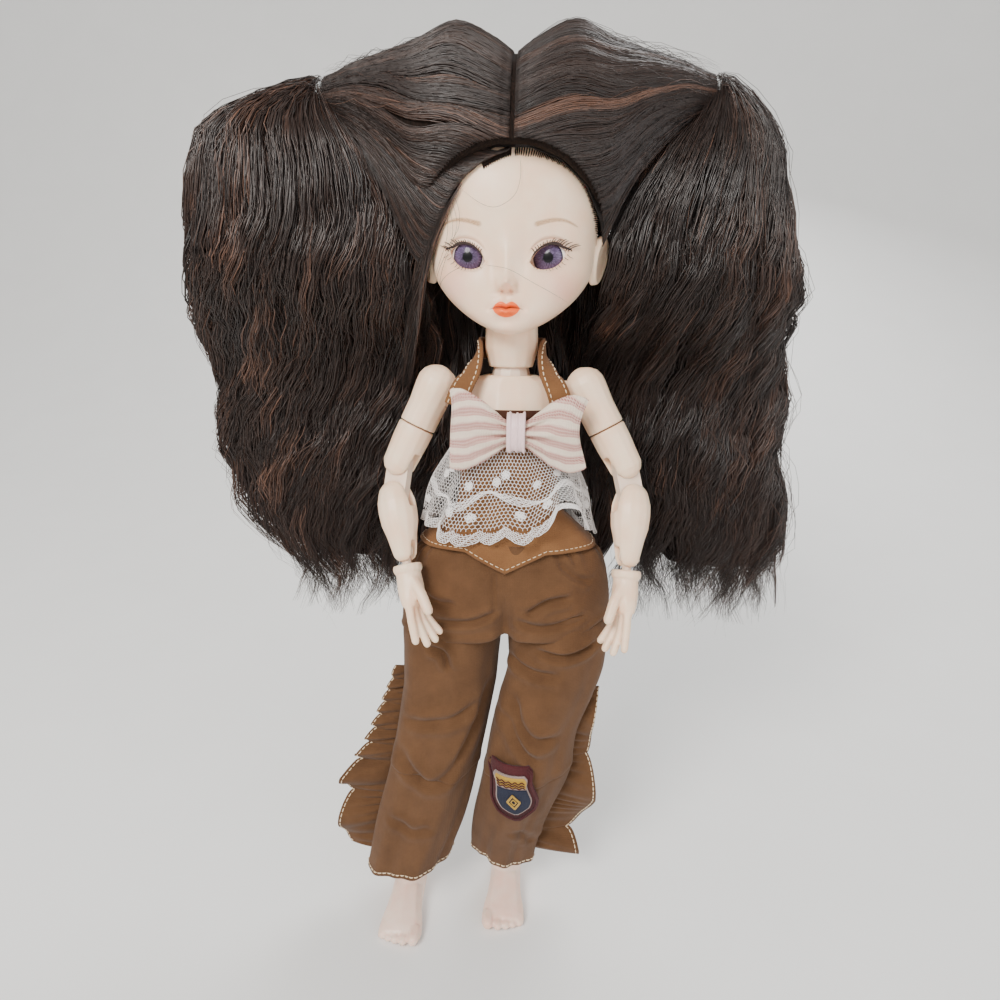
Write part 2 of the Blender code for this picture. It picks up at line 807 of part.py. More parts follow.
def make_tie(name, side, parent):
    """Elastic band round the neck of a bunch, between the crown and the bunch."""
    x = side * (crown_reach + tie_band / 2 + running_gap)
    rings = []
    for radius, offset in ((tie_radius, -0.5), (tie_radius, 0.5),
                           (tie_radius - tie_band, 0.5), (tie_radius - tie_band, -0.5)):
        rings.append([Vector((x + offset * tie_band, head_crown_share * head_depth + y, tie_above_chin + z))
                      for y, z, _ in oval(0, radius, radius, limb_sides)])
    return closed_loft("hair_tie_" + name, rings, parent, "elastic")


def make_back_hair(parent):
    """Curtain of hair behind the head, the neck and the shoulders."""
    rings = []
    skull_back = 0.55 * head_depth + wig_thickness + 2 * wig_gap + back_hair_half_depth
    for height, width, setback in back_hair_share_rows:
        rings.append(oval(parting_above_chin - height * back_hair_length, back_hair_half_width * width,
                          back_hair_half_depth, limb_sides, y=skull_back + setback * head_depth, power=2.6))
    return loft("hair_back", rings, parent, "hair")


# Hinged limbs

pin_reach_share = 0.66
wrist_pin_share = 0.8
neck_gap_shares = (0.3, 0.7)
arm_tight_share = 0.99
leg_tight_share = 0.93
limb_middle_shares = (0.4, 0.98)


def disc_joint(name, side, radius, thickness, shaft_radius, shaft_reach, pin_length, parent):
    """Disc on a cross pin, with a flat neck and a round shaft that turns in the trunk."""
    rings = []
    for y in (-thickness / 2, thickness / 2):
        rings.append([Vector((x, y, z)) for x, z, _ in oval(0, radius, radius, limb_sides)])
    disc = loft(name, rings, parent, "joint_plastic")
    dome_end, shaft_end = shaft_reach
    shaft_start, neck_end = (dome_end + running_gap * share for share in neck_gap_shares)
    low = (min(0, -side * neck_end), -thickness / 2, -shaft_radius)
    high = (max(0, -side * neck_end), thickness / 2, shaft_radius)
    join(disc, block(name + "_neck", low, high, parent))
    join(disc, rod(name + "_shaft", (-side * shaft_start, 0, 0), (-side * shaft_end, 0, 0),
                   shaft_radius, parent))
    join(disc, rod(name + "_pin", (0, -pin_length, 0), (0, pin_length, 0), hinge_pin_radius, parent))
    return disc


def dome_slot(limb, name, side, radius, thickness, dome_radius, parent):
    """Open a dome's inner side and top for the disc and bore its cheeks for the pin."""
    clear = radius + running_gap
    far = dome_radius + overrun
    half = thickness / 2 + running_gap
    low = (min(side * clear, -side * far), -half, -clear)
    high = (max(side * clear, -side * far), half, far)
    cut(limb, block(name + "_slot", low, high, parent))
    bore = hinge_pin_radius + running_gap
    pin = dome_radius * pin_reach_share + running_gap
    cut(limb, rod(name + "_bore", (0, -pin, 0), (0, pin, 0), bore, parent))


def end_slot(limb, name, centre_z, direction, disc_radius, thickness, pin_radius, parent):
    """Fork the end of a limb for a hinge disc, open along direction, and bore it for the pin."""
    clear = disc_radius + running_gap
    half = thickness / 2 + running_gap
    far = direction * (clear + overrun)
    low_z = centre_z + min(far, -direction * clear)
    high_z = centre_z + max(far, -direction * clear)
    reach = clear + overrun
    cut(limb, block(name + "_slot", (-half, -reach, low_z), (half, reach, high_z), parent))
    pin = disc_radius + running_gap
    cut(limb, rod(name + "_bore", (-pin, 0, centre_z), (pin, 0, centre_z), pin_radius + running_gap,
                  parent))


def hinge_link(name, radius, thickness, spacing, pin_radius, parent):
    """Two discs on one web, each on its own cross pin: the middle of a double hinge."""
    rings = []
    half_arc = limb_sides // 2
    for x in (-thickness / 2, thickness / 2):
        outline = []
        for index in range(half_arc + 1):
            angle = pi * index / half_arc
            outline.append(Vector((x, radius * cos(angle), radius * sin(angle))))
        for index in range(half_arc + 1):
            angle = pi + pi * index / half_arc
            outline.append(Vector((x, radius * cos(angle), radius * sin(angle) - spacing)))
        rings.append(outline)
    link = loft(name, rings, parent, "joint_plastic")
    for z in (0.0, -spacing):
        join(link, rod(name + "_pin", (-radius, 0, z), (radius, 0, z), pin_radius, parent))
    return link


def dome_limb(name, dome_radius, body_radius, split, peg_radius, peg_length, parent, tight_share, sides):
    """Upper half of a limb: a round dome, a stretch of limb and the peg that it swivels on."""
    pairs = arc(dome_radius, 90, -10, 5)
    pairs.append((body_radius, -split / 2))
    pairs.append((body_radius * tight_share, -split))
    pairs.append((peg_radius, -split))
    pairs.append((peg_radius, -split - peg_length))
    pairs.append((0, -split - peg_length))
    return turned(name, pairs, parent, "skin", sides)


def sleeve_limb(name, body_radius, tight_share, split, peg_radius, peg_length, pivot_drop, end_radius,
                parent, sides):
    """Lower half of a limb: bored for the peg above, with a round hinge end below."""
    top = -split - running_gap
    bore = peg_radius + running_gap
    floor = -split - peg_length - running_gap
    pairs = [(0, floor), (bore, floor), (bore, top), (body_radius * tight_share, top)]
    middle, swell = limb_middle_shares
    pairs.append((body_radius * swell, top + (-pivot_drop - top) * middle))
    pairs += arc(end_radius, 10, -90, 4, -pivot_drop)
    return turned(name, pairs, parent, "skin", sides)


forearm_share_rows = [
    # distance down the forearm, radius
    (0.10, 0.98),
    (0.28, 1.0),
    (0.50, 0.95),
    (0.72, 0.78),
]
calf_share_rows = [
    (0.22, 1.0),
    (0.45, 0.92),
    (0.72, 0.72),
]


collar_share_rows = [
    # depth down the collar, radius
    (0.0, 1.0),
    (0.5, 1.04),
    (1.0, 1.0),
    (1.0, 0.86),
]
collar_flat_share = 0.94
palm_share_rows = [
    # distance down the palm, half width, half thickness
    (0.45, 0.86, 1.22),
    (0.75, 0.97, 1.05),
    (0.96, 0.98, 0.86),
]
palm_power = 2.3
finger_share_rows = [
    # across the palm, length, curl towards the palm
    (0.67, 0.97, 0.05),
    (0.23, 1.08, 0.20),
    (-0.22, 1.02, 0.32),
    (-0.65, 0.86, 0.42),
]
finger_root_shares = (0.07, 1.6)
finger_splay_share = 0.8
thumb_root_shares = (0.36, 0.5, 1.9)
thumb_share_rows = [
    # across, out towards the palm, down
    (0.1, 0.28, 0.5),
    (0.12, 0.42, 1.0),
]
tip_taper_share = 0.12
tip_round_shares = (0.62, 0.55)
tip_end_share = 0.8


def make_hand(name, side, parent):
    """Collar, palm, four fingers and a thumb, palm towards -Y and forefinger in front."""
    bore = wrist_stem_radius + running_gap
    bore_depth = wrist_stem_length - wrist_end_radius + running_gap
    rings = [[Vector((0, 0, -bore_depth))]]
    for z in (-bore_depth, 0.0):
        rings.append(oval(z, bore, bore, limb_sides))
    for height, reach in collar_share_rows:
        radius = hand_collar_radius * reach
        rings.append(oval(-height * hand_collar_height, radius, radius * collar_flat_share, limb_sides))
    for height, width, depth in palm_share_rows:
        rings.append(oval(-hand_collar_height - palm_length * height, palm_half_width * width,
                          palm_half_thickness * depth, limb_sides, power=palm_power))
    palm_end = -hand_collar_height - palm_length
    rings.append([Vector((0, 0, palm_end - finger_radius))])
    hand = loft("hand_" + name, rings, parent, "skin")
    root_back, root_up = finger_root_shares
    for number, (place, length, curl) in enumerate(finger_share_rows):
        root = Vector((side * place * palm_half_width, -palm_half_thickness * root_back,
                       palm_end + finger_radius * root_up))
        path = [root]
        for step_share in (0.5, 1.0):
            drop = finger_length * length * step_share
            splay = side * place * finger_radius * finger_splay_share * step_share
            path.append(root + Vector((splay, -drop * curl * step_share, -drop)))
        join(hand, fingertip("finger_%d" % number, path, finger_radius, parent))
    across, out, down = thumb_root_shares
    thumb_root = Vector((side * palm_half_width * across, -palm_half_thickness * out,
                         -hand_collar_height * down))
    thumb_path = [thumb_root]
    for across, out, down in thumb_share_rows:
        thumb_path.append(thumb_root + thumb_length * Vector((side * across, -out, -down)))
    join(hand, fingertip("thumb_form", thumb_path, thumb_radius, parent))
    return hand


def fingertip(name, path, radius, parent):
    """A tube along a path, slightly tapered, with a rounded end."""
    rings = []
    last = len(path) - 1
    for index, point in enumerate(path):
        ahead = path[min(index + 1, last)] - path[max(index - 1, 0)]
        turn = ahead.to_track_quat("Z", "Y").to_matrix()
        swell = radius * (1 - tip_taper_share * index / last)
        rings.append([point + turn @ place for place in oval(0, swell, swell, finger_sides)])
    tip_direction = (path[-1] - path[-2]).normalized()
    turn = tip_direction.to_track_quat("Z", "Y").to_matrix()
    narrow, along = (radius * share for share in tip_round_shares)
    round_ring = oval(0, narrow, narrow, finger_sides)
    rings.append([path[-1] + tip_direction * along + turn @ place for place in round_ring])
    rings.append([path[-1] + tip_direction * radius * tip_end_share])
    return loft(name, rings, parent, None)


def make_arm(name, side, chest):
    """Shoulder disc, upper arm, swivel sleeve, elbow link, forearm, wrist peg and hand."""
    swing = pivot("shoulder_swing_" + name, chest, (side * shoulder_spacing / 2, 0, waist_to_shoulder),
                  turn_x(-arm_forward))
    shaft_end = shoulder_spacing / 2 - chest_half_width + shoulder_shaft_length
    disc_joint("shoulder_disc_" + name, side, shoulder_disc_radius, shoulder_disc_thickness,
               shoulder_shaft_radius, (shoulder_dome_radius, shaft_end),
               shoulder_dome_radius * pin_reach_share, swing)
    arm = pivot("shoulder_raise_" + name, swing, turn=turn_y(-side * ARM_OUT[side]))
    upper = dome_limb("upper_arm_" + name, shoulder_dome_radius, upper_arm_radius, upper_arm_split,
                      arm_peg_radius, arm_peg_length, arm, arm_tight_share, limb_sides)
    dome_slot(upper, "shoulder", side, shoulder_disc_radius, shoulder_disc_thickness,
              shoulder_dome_radius, arm)
    sleeve_frame = pivot("upper_arm_twist_" + name, arm, turn=turn_z(-side * arm_twist))
    pivot_drop = upper_arm_length - elbow_link_length / 2
    sleeve = sleeve_limb("elbow_sleeve_" + name, upper_arm_radius, arm_tight_share, upper_arm_split,
                         arm_peg_radius, arm_peg_length, pivot_drop, elbow_end_radius,
                         sleeve_frame, limb_sides)
    end_slot(sleeve, "elbow", -pivot_drop, -1, elbow_disc_radius, elbow_disc_thickness,
             hinge_pin_radius, sleeve_frame)
    link_frame = pivot("elbow_upper_" + name, sleeve_frame, (0, 0, -pivot_drop),
                       turn_x(-ELBOW_HALF_BEND[side]))
    hinge_link("elbow_link_" + name, elbow_disc_radius, elbow_disc_thickness, elbow_link_length,
               hinge_pin_radius, link_frame)
    forearm_frame = pivot("elbow_lower_" + name, link_frame, (0, 0, -elbow_link_length),
                          turn_x(-ELBOW_HALF_BEND[side]))
    wrist_drop = forearm_length - elbow_link_length / 2 - wrist_end_radius
    pairs = arc(elbow_end_radius, 90, 10, 4)
    for place, radius in forearm_share_rows:
        pairs.append((forearm_radius * radius, -wrist_drop * place))
    pairs += arc(wrist_end_radius, 0, -90, 4, -wrist_drop)
    forearm = turned("forearm_" + name, pairs, forearm_frame, "skin")
    end_slot(forearm, "forearm_top", 0.0, 1, elbow_disc_radius, elbow_disc_thickness,
             hinge_pin_radius, forearm_frame)
    end_slot(forearm, "forearm_end", -wrist_drop, -1, wrist_disc_radius, wrist_disc_thickness,
             hinge_pin_radius * wrist_pin_share, forearm_frame)
    wrist_frame = pivot("wrist_bend_" + name, forearm_frame, (0, 0, -wrist_drop))
    make_wrist_peg(name, wrist_frame)
    hand_frame = pivot("wrist_turn_" + name, wrist_frame, (0, 0, -wrist_end_radius - running_gap))
    make_hand(name, side, hand_frame)


def make_wrist_peg(name, parent):
    """Small hinge disc in the forearm's fork with a round stem that the hand turns on."""
    rings = []
    for x in (-wrist_disc_thickness / 2, wrist_disc_thickness / 2):
        rings.append([Vector((x, y, z)) for y, z, _ in
                      oval(0, wrist_disc_radius, wrist_disc_radius, limb_sides)])
    peg = loft("wrist_peg_" + name, rings, parent, "joint_plastic")
    join(peg, rod("wrist_stem", (0, 0, 0), (0, 0, -wrist_stem_length), wrist_stem_radius, parent))
    join(peg, rod("wrist_pin", (-wrist_disc_radius, 0, 0), (wrist_disc_radius, 0, 0),
                  hinge_pin_radius * wrist_pin_share, parent))
    return peg


foot_share_rows = [
    # place along the foot from the heel, half width, height over the ankle height
    (0.0, 0.35, 0.30),
    (0.05, 0.60, 0.52),
    (0.18, 0.74, 0.72),
    (0.50, 0.76, 0.70),
    (0.62, 0.84, 0.56),
    (0.74, 0.96, 0.44),
    (0.84, 1.0, 0.34),
    (0.90, 0.98, 0.26),
]
foot_section_share_rows = [
    # across the foot, up from the sole
    (-0.8, 0.0),
    (0.8, 0.0),
    (1.0, 0.22),
    (0.96, 0.55),
    (0.66, 0.88),
    (0.0, 1.0),
    (-0.66, 0.88),
    (-0.96, 0.55),
    (-1.0, 0.22),
]
collar_foot_share = 0.9
toe_root_share = 0.88
toe_share_rows = [
    # across the foot from the inner side, size, reach forward
    (-0.68, 1.35, 1.0),
    (-0.22, 1.05, 0.95),
    (0.14, 0.98, 0.82),
    (0.47, 0.9, 0.62),
    (0.76, 0.82, 0.36),
]


def make_foot(name, side, parent):
    """Flat sole, raised ankle cup and five toes, with the big toe on the inner side."""
    rings = []
    for along, width, height in foot_share_rows:
        y = heel_behind_ankle - foot_length * along
        half = foot_half_width * width
        top = ankle_height * height
        rings.append([Vector((half * across, y, top * up - ankle_height))
                      for across, up in foot_section_share_rows])
    foot = loft("foot_" + name, rings, parent, "skin")
    cup = ankle_ball_radius + running_gap
    rim = -ankle_band / 2
    rim_outer = sqrt(cup ** 2 - rim ** 2) + cup_wall * cup_edge_share
    low = -ankle_height * collar_foot_share
    collar_pairs = [(0, low), (rim_outer, low), (rim_outer, rim), (0, rim)]
    join(foot, turned("ankle_collar", collar_pairs, parent, None))
    toe_y = heel_behind_ankle - foot_length * toe_root_share
    for number, (across, size, reach) in enumerate(toe_share_rows):
        radius = toe_radius * size
        x = side * across * foot_half_width
        tip = toe_y - foot_length * (1 - toe_root_share) * reach + radius * tip_end_share
        path = [Vector((x, toe_y + toe_radius, radius - ankle_height)),
                Vector((x, tip, radius - ankle_height))]
        join(foot, fingertip("toe_%d" % number, path, radius, parent))
    seat = ball("ankle_seat", cup, parent, None)
    cut(foot, seat)
    return foot


def make_leg(name, side, pelvis):
    """Hip disc, thigh, swivel sleeve, knee link, shin, ankle ball and foot."""
    swing = pivot("hip_swing_" + name, pelvis, (side * hip_spacing / 2, 0, 0), turn_x(LEG_STEP[side]))
    shaft_end = hip_spacing / 2 - running_gap / 2
    disc_joint("hip_disc_" + name, side, hip_disc_radius, hip_disc_thickness, hip_shaft_radius,
               (hip_dome_radius, shaft_end), hip_dome_radius * pin_reach_share, swing)
    lean = pivot("hip_spread_" + name, swing, turn=turn_y(LEG_LEAN[side]))
    half_bend = KNEE_HALF_BEND[side]
    thigh_frame = pivot("thigh_" + name + "_frame", lean, turn=turn_x(-half_bend))
    thigh = dome_limb("thigh_" + name, hip_dome_radius, thigh_radius, thigh_split, leg_peg_radius,
                      leg_peg_length, thigh_frame, leg_tight_share, leg_sides)
    dome_slot(thigh, "hip", side, hip_disc_radius, hip_disc_thickness, hip_dome_radius, lean)
    sleeve_frame = pivot("thigh_twist_" + name, thigh_frame)
    pivot_drop = thigh_length - knee_link_length / 2
    sleeve = sleeve_limb("knee_sleeve_" + name, thigh_radius, leg_tight_share, thigh_split,
                         leg_peg_radius, leg_peg_length, pivot_drop, knee_end_radius,
                         sleeve_frame, leg_sides)
    end_slot(sleeve, "knee", -pivot_drop, -1, knee_disc_radius, knee_disc_thickness,
             knee_pin_radius, sleeve_frame)
    link_frame = pivot("knee_upper_" + name, sleeve_frame, (0, 0, -pivot_drop), turn_x(half_bend))
    hinge_link("knee_link_" + name, knee_disc_radius, knee_disc_thickness, knee_link_length,
               knee_pin_radius, link_frame)
    shin_frame = pivot("knee_lower_" + name, link_frame, (0, 0, -knee_link_length), turn_x(half_bend))
    ankle_drop = shin_length - knee_link_length / 2
    cup = ankle_ball_radius + running_gap
    rim = ankle_band / 2
    pairs = arc(knee_end_radius, 90, 10, 4)
    for place, radius in calf_share_rows:
        pairs.append((calf_radius * radius, -ankle_drop * place))
    pairs.append((sqrt(cup ** 2 - rim ** 2) + cup_wall / 2, rim - ankle_drop))
    pairs += arc(cup, elevation_of(cup, rim), 90, 4, -ankle_drop)
    shin = turned("shin_" + name, pairs, shin_frame, "skin", leg_sides)
    end_slot(shin, "shin_top", 0.0, 1, knee_disc_radius, knee_disc_thickness, knee_pin_radius, shin_frame)
    ankle_frame = pivot("ankle_bend_" + name, shin_frame, (0, 0, -ankle_drop))
    ball("ankle_ball_" + name, ankle_ball_radius, ankle_frame, "joint_plastic")
    upright = turn_x(-half_bend) @ turn_y(-LEG_LEAN[side]) @ turn_x(-LEG_STEP[side])
    foot_frame = pivot("ankle_tilt_" + name, ankle_frame, turn=upright)
    make_foot(name, side, foot_frame)


# Clothes

cloth_power = 2.2
vest_share_rows = [
    # height from top to hem, width and depth over the chest's
    (0.0, 1.0, 1.03),
    (0.22, 0.99, 1.10),
    (0.48, 0.91, 1.02),
    (0.74, 1.0, 1.06),
    (0.885, 1.40, 1.28),
    (0.957, 1.62, 1.48),
    (1.0, 1.76, 1.52),
]


def cloth_tube(name, inner_rows, thickness, parent, material):
    """A sleeve of cloth from (height, half width, half depth, x, y, wave) rows of its inside."""
    outside = []
    inside = []
    for height, half_width, half_depth, x, y, wave in inner_rows:
        for rings, wall in ((outside, thickness), (inside, 0.0)):
            ring = oval(height, half_width + wall, half_depth + wall, cloth_sides, x=x, y=y,
                        power=cloth_power)
            rings.append([wave(point, Vector((x, y, height))) for point in ring])
    return closed_loft(name, outside + inside[::-1], parent, material)


def still(point, _):
    return point


point_spread_share = 0.8


def hem_point(point, _):
    """Draw the front of the vest's hem down into a point."""
    if point.y > 0:
        return point
    fall = max(0.0, 1 - abs(point.x) / (chest_half_width * point_spread_share))
    return point - Vector((0, 0, vest_point * fall))


def make_vest(chest):
    rows = []
    top = waist_to_shoulder - vest_top_drop
    for height, width, depth in vest_share_rows:
        wave = hem_point if height == 1.0 else still
        y = neck_setback * (1 - height)
        rows.append((top - vest_length * height, chest_half_width * width + cloth_gap,
                     chest_half_depth * depth + cloth_gap, 0.0, y, wave))
    cloth_tube("vest", rows, cloth_thickness, chest, "brown_cotton")


strap_share_rows = [
    # out from the middle and back from the neck's axis over the neck reach, rise, outward normal
    (1.52, -1.18, 0.03, (0.0, -1.0, 0.0)),
    (1.34, -1.07, 0.38, (0.1, -0.9, 0.4)),
    (1.08, -0.75, 0.76, (0.5, -0.55, 0.67)),
    (0.96, -0.28, 0.94, (0.92, -0.25, 0.3)),
    (0.93, 0.34, 1.0, (0.96, 0.28, 0.0)),
    (0.62, 0.80, 1.0, (0.6, 0.8, 0.0)),
    (0.05, 1.02, 1.0, (0.0, 1.0, 0.0)),
]


def make_strap(name, side, chest):
    """Halter strap from the vest's top edge over the shoulder to the nape."""
    path = []
    start = waist_to_shoulder - vest_top_drop
    for out, back, rise, normal in strap_share_rows:
        place = Vector((side * out * strap_neck_reach, neck_setback + back * strap_neck_reach,
                        start + rise * strap_rise))
        path.append((place, Vector((side * normal[0], normal[1], normal[2])).normalized()))
    grid = []
    for index, (place, normal) in enumerate(path):
        ahead = path[min(index + 1, len(path) - 1)][0] - path[max(index - 1, 0)][0]
        across = normal.cross(ahead).normalized() * strap_width / 2
        level = across.normalized().z
        lift = Vector((0, 0, abs(level) * strap_width / 2))
        grid.append([(place - across + lift, normal), (place + across + lift, normal)])
    slab("strap_" + name, grid, cloth_thickness, chest, "brown_cotton")


bust_share = 1.1
lace_setback_share = 0.76
lace_share_rows = [
    # height from top to hem, share of the full wave
    (0.0, 0.0),
    (0.5, 0.5),
    (1.0, 1.0),
]


def lace_wave_at(amount):
    """A wave that moves a ring of lace in and out, growing towards the hem."""
    def wave(point, centre):
        arm = point - centre
        angle = atan2(arm.y, arm.x)
        return point + arm.normalized() * lace_wave * amount * sin(lace_waves * angle)
    return wave


def make_lace(chest):
    """Gathered lace flounce that hangs from the bust over the vest."""
    rows = []
    wall = cloth_gap * 2 + cloth_thickness
    top_half_width = chest_half_width + wall
    top_half_depth = chest_half_depth * bust_share + wall
    top_setback = neck_setback * lace_setback_share
    for share, amount in lace_share_rows:
        rows.append((waist_to_shoulder - lace_top_drop - lace_length * share,
                     top_half_width + (lace_half_width - top_half_width) * share,
                     top_half_depth + (lace_half_depth - top_half_depth) * share,
                     0.0, top_setback * (1 - share), lace_wave_at(amount)))
    flounce = []
    inner = []
    for height, half_width, half_depth, x, y, wave in rows:
        for rings, grow in ((flounce, lace_thickness), (inner, 0.0)):
            ring = oval(height, half_width + grow, half_depth + grow, lace_waves * 4, x=x, y=y,
                        power=cloth_power)
            rings.append([wave(point, Vector((x, y, height))) for point in ring])
    closed_loft("lace_peplum", flounce + inner[::-1], chest, "white_lace")


bow_share_rows = [
    # place from the knot outward, half height, half thickness
    (0.0, 0.30, 0.60),
    (0.14, 0.34, 0.66),
    (0.28, 0.52, 0.90),
    (0.50, 0.80, 1.0),
    (0.78, 1.0, 0.92),
    (0.96, 0.97, 0.62),
    (1.0, 0.92, 0.36),
]


def bow_place():
    """Centre of the bow in the chest's frame, in front of the lace."""
    vest_front = chest_half_depth * bust_share + cloth_gap + cloth_thickness - neck_setback
    knot_depth = knot_hollow()[1] + knot_wall
    return Vector((bow_shift, -vest_front - running_gap - knot_depth, waist_to_shoulder - bow_drop))


def knot_hollow():
    """Half height and half depth of the opening in the knot band round the bow's waist."""
    _, height, thick = bow_share_rows[1]
    return bow_half_height * height + running_gap, bow_half_thickness * thick + 1.5 * running_gap


def make_bow(chest):
    """Pleated bow with one knot band round its middle."""
    centre = bow_place()
    rings = []
    shares = [(-place, height, thick) for place, height, thick in bow_share_rows[:0:-1]] + bow_share_rows
    for place, height, thick in shares:
        ring = []
        for upright, forward, _ in oval(0, 1.0, 1.0, bow_sides):
            pleat = bow_pleat * abs(place) * cos(upright * bow_pleats)
            deep = forward * thick * bow_half_thickness + pleat
            high = upright * height * bow_half_height
            ring.append(centre + Vector((place * bow_half_width, deep, high)))
        rings.append(ring)
    loft("bow", rings, chest, "striped_twill")
    hollow_height, hollow_depth = knot_hollow()
    bands = []
    for end, wall in ((-1, knot_wall), (1, knot_wall), (1, 0.0), (-1, 0.0)):
        bands.append([centre + Vector((end * knot_half_width, y, z)) for z, y, _ in
                      oval(0, hollow_height + wall, hollow_depth + wall, bow_sides)])
    closed_loft("bow_knot", bands, chest, "pink_satin")


seat_share_rows = [
    # height from waist to crotch, share of the way from the waist's size to the seat's
    (0.0, 0.0),
    (0.13, 0.55),
    (0.30, 0.80),
    (0.60, 0.97),
    (1.0, 1.02),
]


def make_trouser_seat(pelvis):
    rows = []
    top = hip_to_waist - trouser_waist_drop
    for height, share in seat_share_rows:
        rows.append((top - (top + seat_below_hip) * height,
                     trouser_waist_half_width + (seat_half_width - trouser_waist_half_width) * share,
                     trouser_waist_half_depth + (seat_half_depth - trouser_waist_half_depth) * share,
                     0.0, 0.0, fold_wave(0.5, 0.0)))
    cloth_tube("trouser_seat", rows, cloth_thickness, pelvis, "brown_cotton")


def fold_wave(amount, phase):
    """Soft upright folds round a tube of cloth."""
    def wave(point, centre):
        arm = point - centre
        angle = atan2(arm.y, arm.x)
        return point + arm.normalized() * fold_depth * amount * cos(folds_round_leg * angle + phase)
    return wave


leg_cloth_share_rows = {
    # fall from hip to hem, ease outward, width, depth
    RIGHT: [
        (0.0, 1.19, 1.14, 1.04),
        (0.11, 0.87, 1.09, 1.02),
        (0.25, 0.43, 1.05, 1.0),
        (0.53, 0.13, 1.03, 1.0),
        (0.8, 0.07, 1.05, 1.02),
        (1.0, 0.12, 0.97, 1.05),
    ],
    LEFT: [
        (0.0, 1.02, 1.11, 1.04),
        (0.155, 1.25, 1.05, 1.02),
        (0.25, 0.98, 1.02, 1.04),
        (0.4, 0.48, 0.94, 1.05),
        (0.57, 0.36, 0.95, 1.05),
        (0.77, -0.13, 0.84, 0.95),
        (0.9, -0.3, 0.76, 0.85),
        (1.0, -0.25, 0.72, 0.8),
    ],
}
knee_cloth_share = 0.75


def share_between(rows, place):
    """Read a table of shares at a place between its rows."""
    for lower, upper in zip(rows, rows[1:]):
        if place <= upper[0]:
            part = (place - lower[0]) / (upper[0] - lower[0])
            return [a + (b - a) * part for a, b in zip(lower[1:], upper[1:])]
    return list(rows[-1][1:])


def hem_fall(side):
    """How far a trouser leg's hem lies below the hip."""
    return hip_z - HEM_HEIGHT[side]


def leg_cloth_section(side, fall):
    """Centre x, centre y, half width and half depth of a trouser leg at a fall below the hip."""
    knee_fall = leg_drop / 2
    knee_forward = (thigh_length - knee_link_length / 2) * sin(KNEE_HALF_BEND[side])
    forward = knee_forward * knee_cloth_share * max(0.0, 1 - abs(fall - knee_fall) / knee_fall)
    out, width, depth = share_between(leg_cloth_share_rows[side], fall / hem_fall(side))
    x = -tan(LEG_LEAN[side]) * fall + side * out * leg_side_ease
    y = tan(LEG_STEP[side]) * fall - forward
    return x, y, leg_half_width * width, leg_half_depth * depth


def make_trouser_leg(name, side, thigh, shin):
    """Two lengths of trouser leg that meet at the knee, each on its own half of the leg."""
    knee_fall = leg_drop / 2
    top_fall = seat_below_hip + cloth_gap
    stretches = (
        ("upper", thigh, top_fall, knee_fall - cloth_gap / 2),
        ("lower", shin, knee_fall + cloth_gap / 2, hem_fall(side)),
    )
    for label, frame, start, stop in stretches:
        rows = []
        for step in range(leg_cloth_rows):
            fall = start + (stop - start) * step / (leg_cloth_rows - 1)
            x, y, half_width, half_depth = leg_cloth_section(side, fall)
            share = fall / hem_fall(side)
            rows.append((-fall, half_width, half_depth, x, y, fold_wave(1 + share, side + share)))
        piece = cloth_tube("trouser_%s_%s" % (label, name), rows, cloth_thickness, frame, "brown_cotton")
        piece.matrix_local = frame_to_hip(frame, side)


def frame_to_hip(frame, side):
    """Matrix that carries upright coordinates round the hip centre into a joint's frame."""
    bpy.context.view_layer.update()
    hip = Matrix.Translation((side * hip_spacing / 2, 0, hip_z))
    return frame.matrix_world.inverted() @ hip


ruffle_share_rows = {
    # fall from hip to hem, width; the first row is the frill's top
    RIGHT: [
        (0.21, 0.18),
        (0.53, 0.66),
        (0.66, 1.0),
        (1.0, 0.66),
    ],
    LEFT: [
        (0.25, 0.24),
        (0.52, 0.48),
        (1.0, 1.14),
    ],
}


def make_ruffle(label, name, side, frame, start, stop, waves):
    """Gathered frill that stands out of the outer side seam between two falls."""
    grid = []
    rows = waves * 4 + 1
    for row in range(rows):
        share = row / (rows - 1)
        fall = start + (stop - start) * share
        x, y, half_width, _ = leg_cloth_section(side, fall)
        down = fall / hem_fall(side)
        seam = Vector((side * (half_width + cloth_thickness + cloth_gap), 0, 0))
        root = x + fold_wave(1 + down, side + down)(seam, Vector((0, 0, 0))).x
        width = ruffle_width * share_between(ruffle_share_rows[side], down)[0]
        line = []
        for out in (0.0, 0.5, 1.0):
            sway = ruffle_wave * out * sin(2 * pi * waves * share)
            line.append((Vector((root + side * out * width, y + sway, -fall)), Vector((0, -1, 0))))
        grid.append(line)
    ruffle = slab("ruffle_%s_%s" % (label, name), grid, ruffle_thickness, frame, "brown_cotton")
    ruffle.matrix_local = frame_to_hip(frame, side)


badge_share_rows = [
    # height from top to tip, half width
    (0.0, 0.80),
    (0.10, 0.92),
    (0.30, 0.97),
    (0.62, 1.0),
    (0.82, 0.78),
    (0.94, 0.38),
    (1.0, 0.12),
]


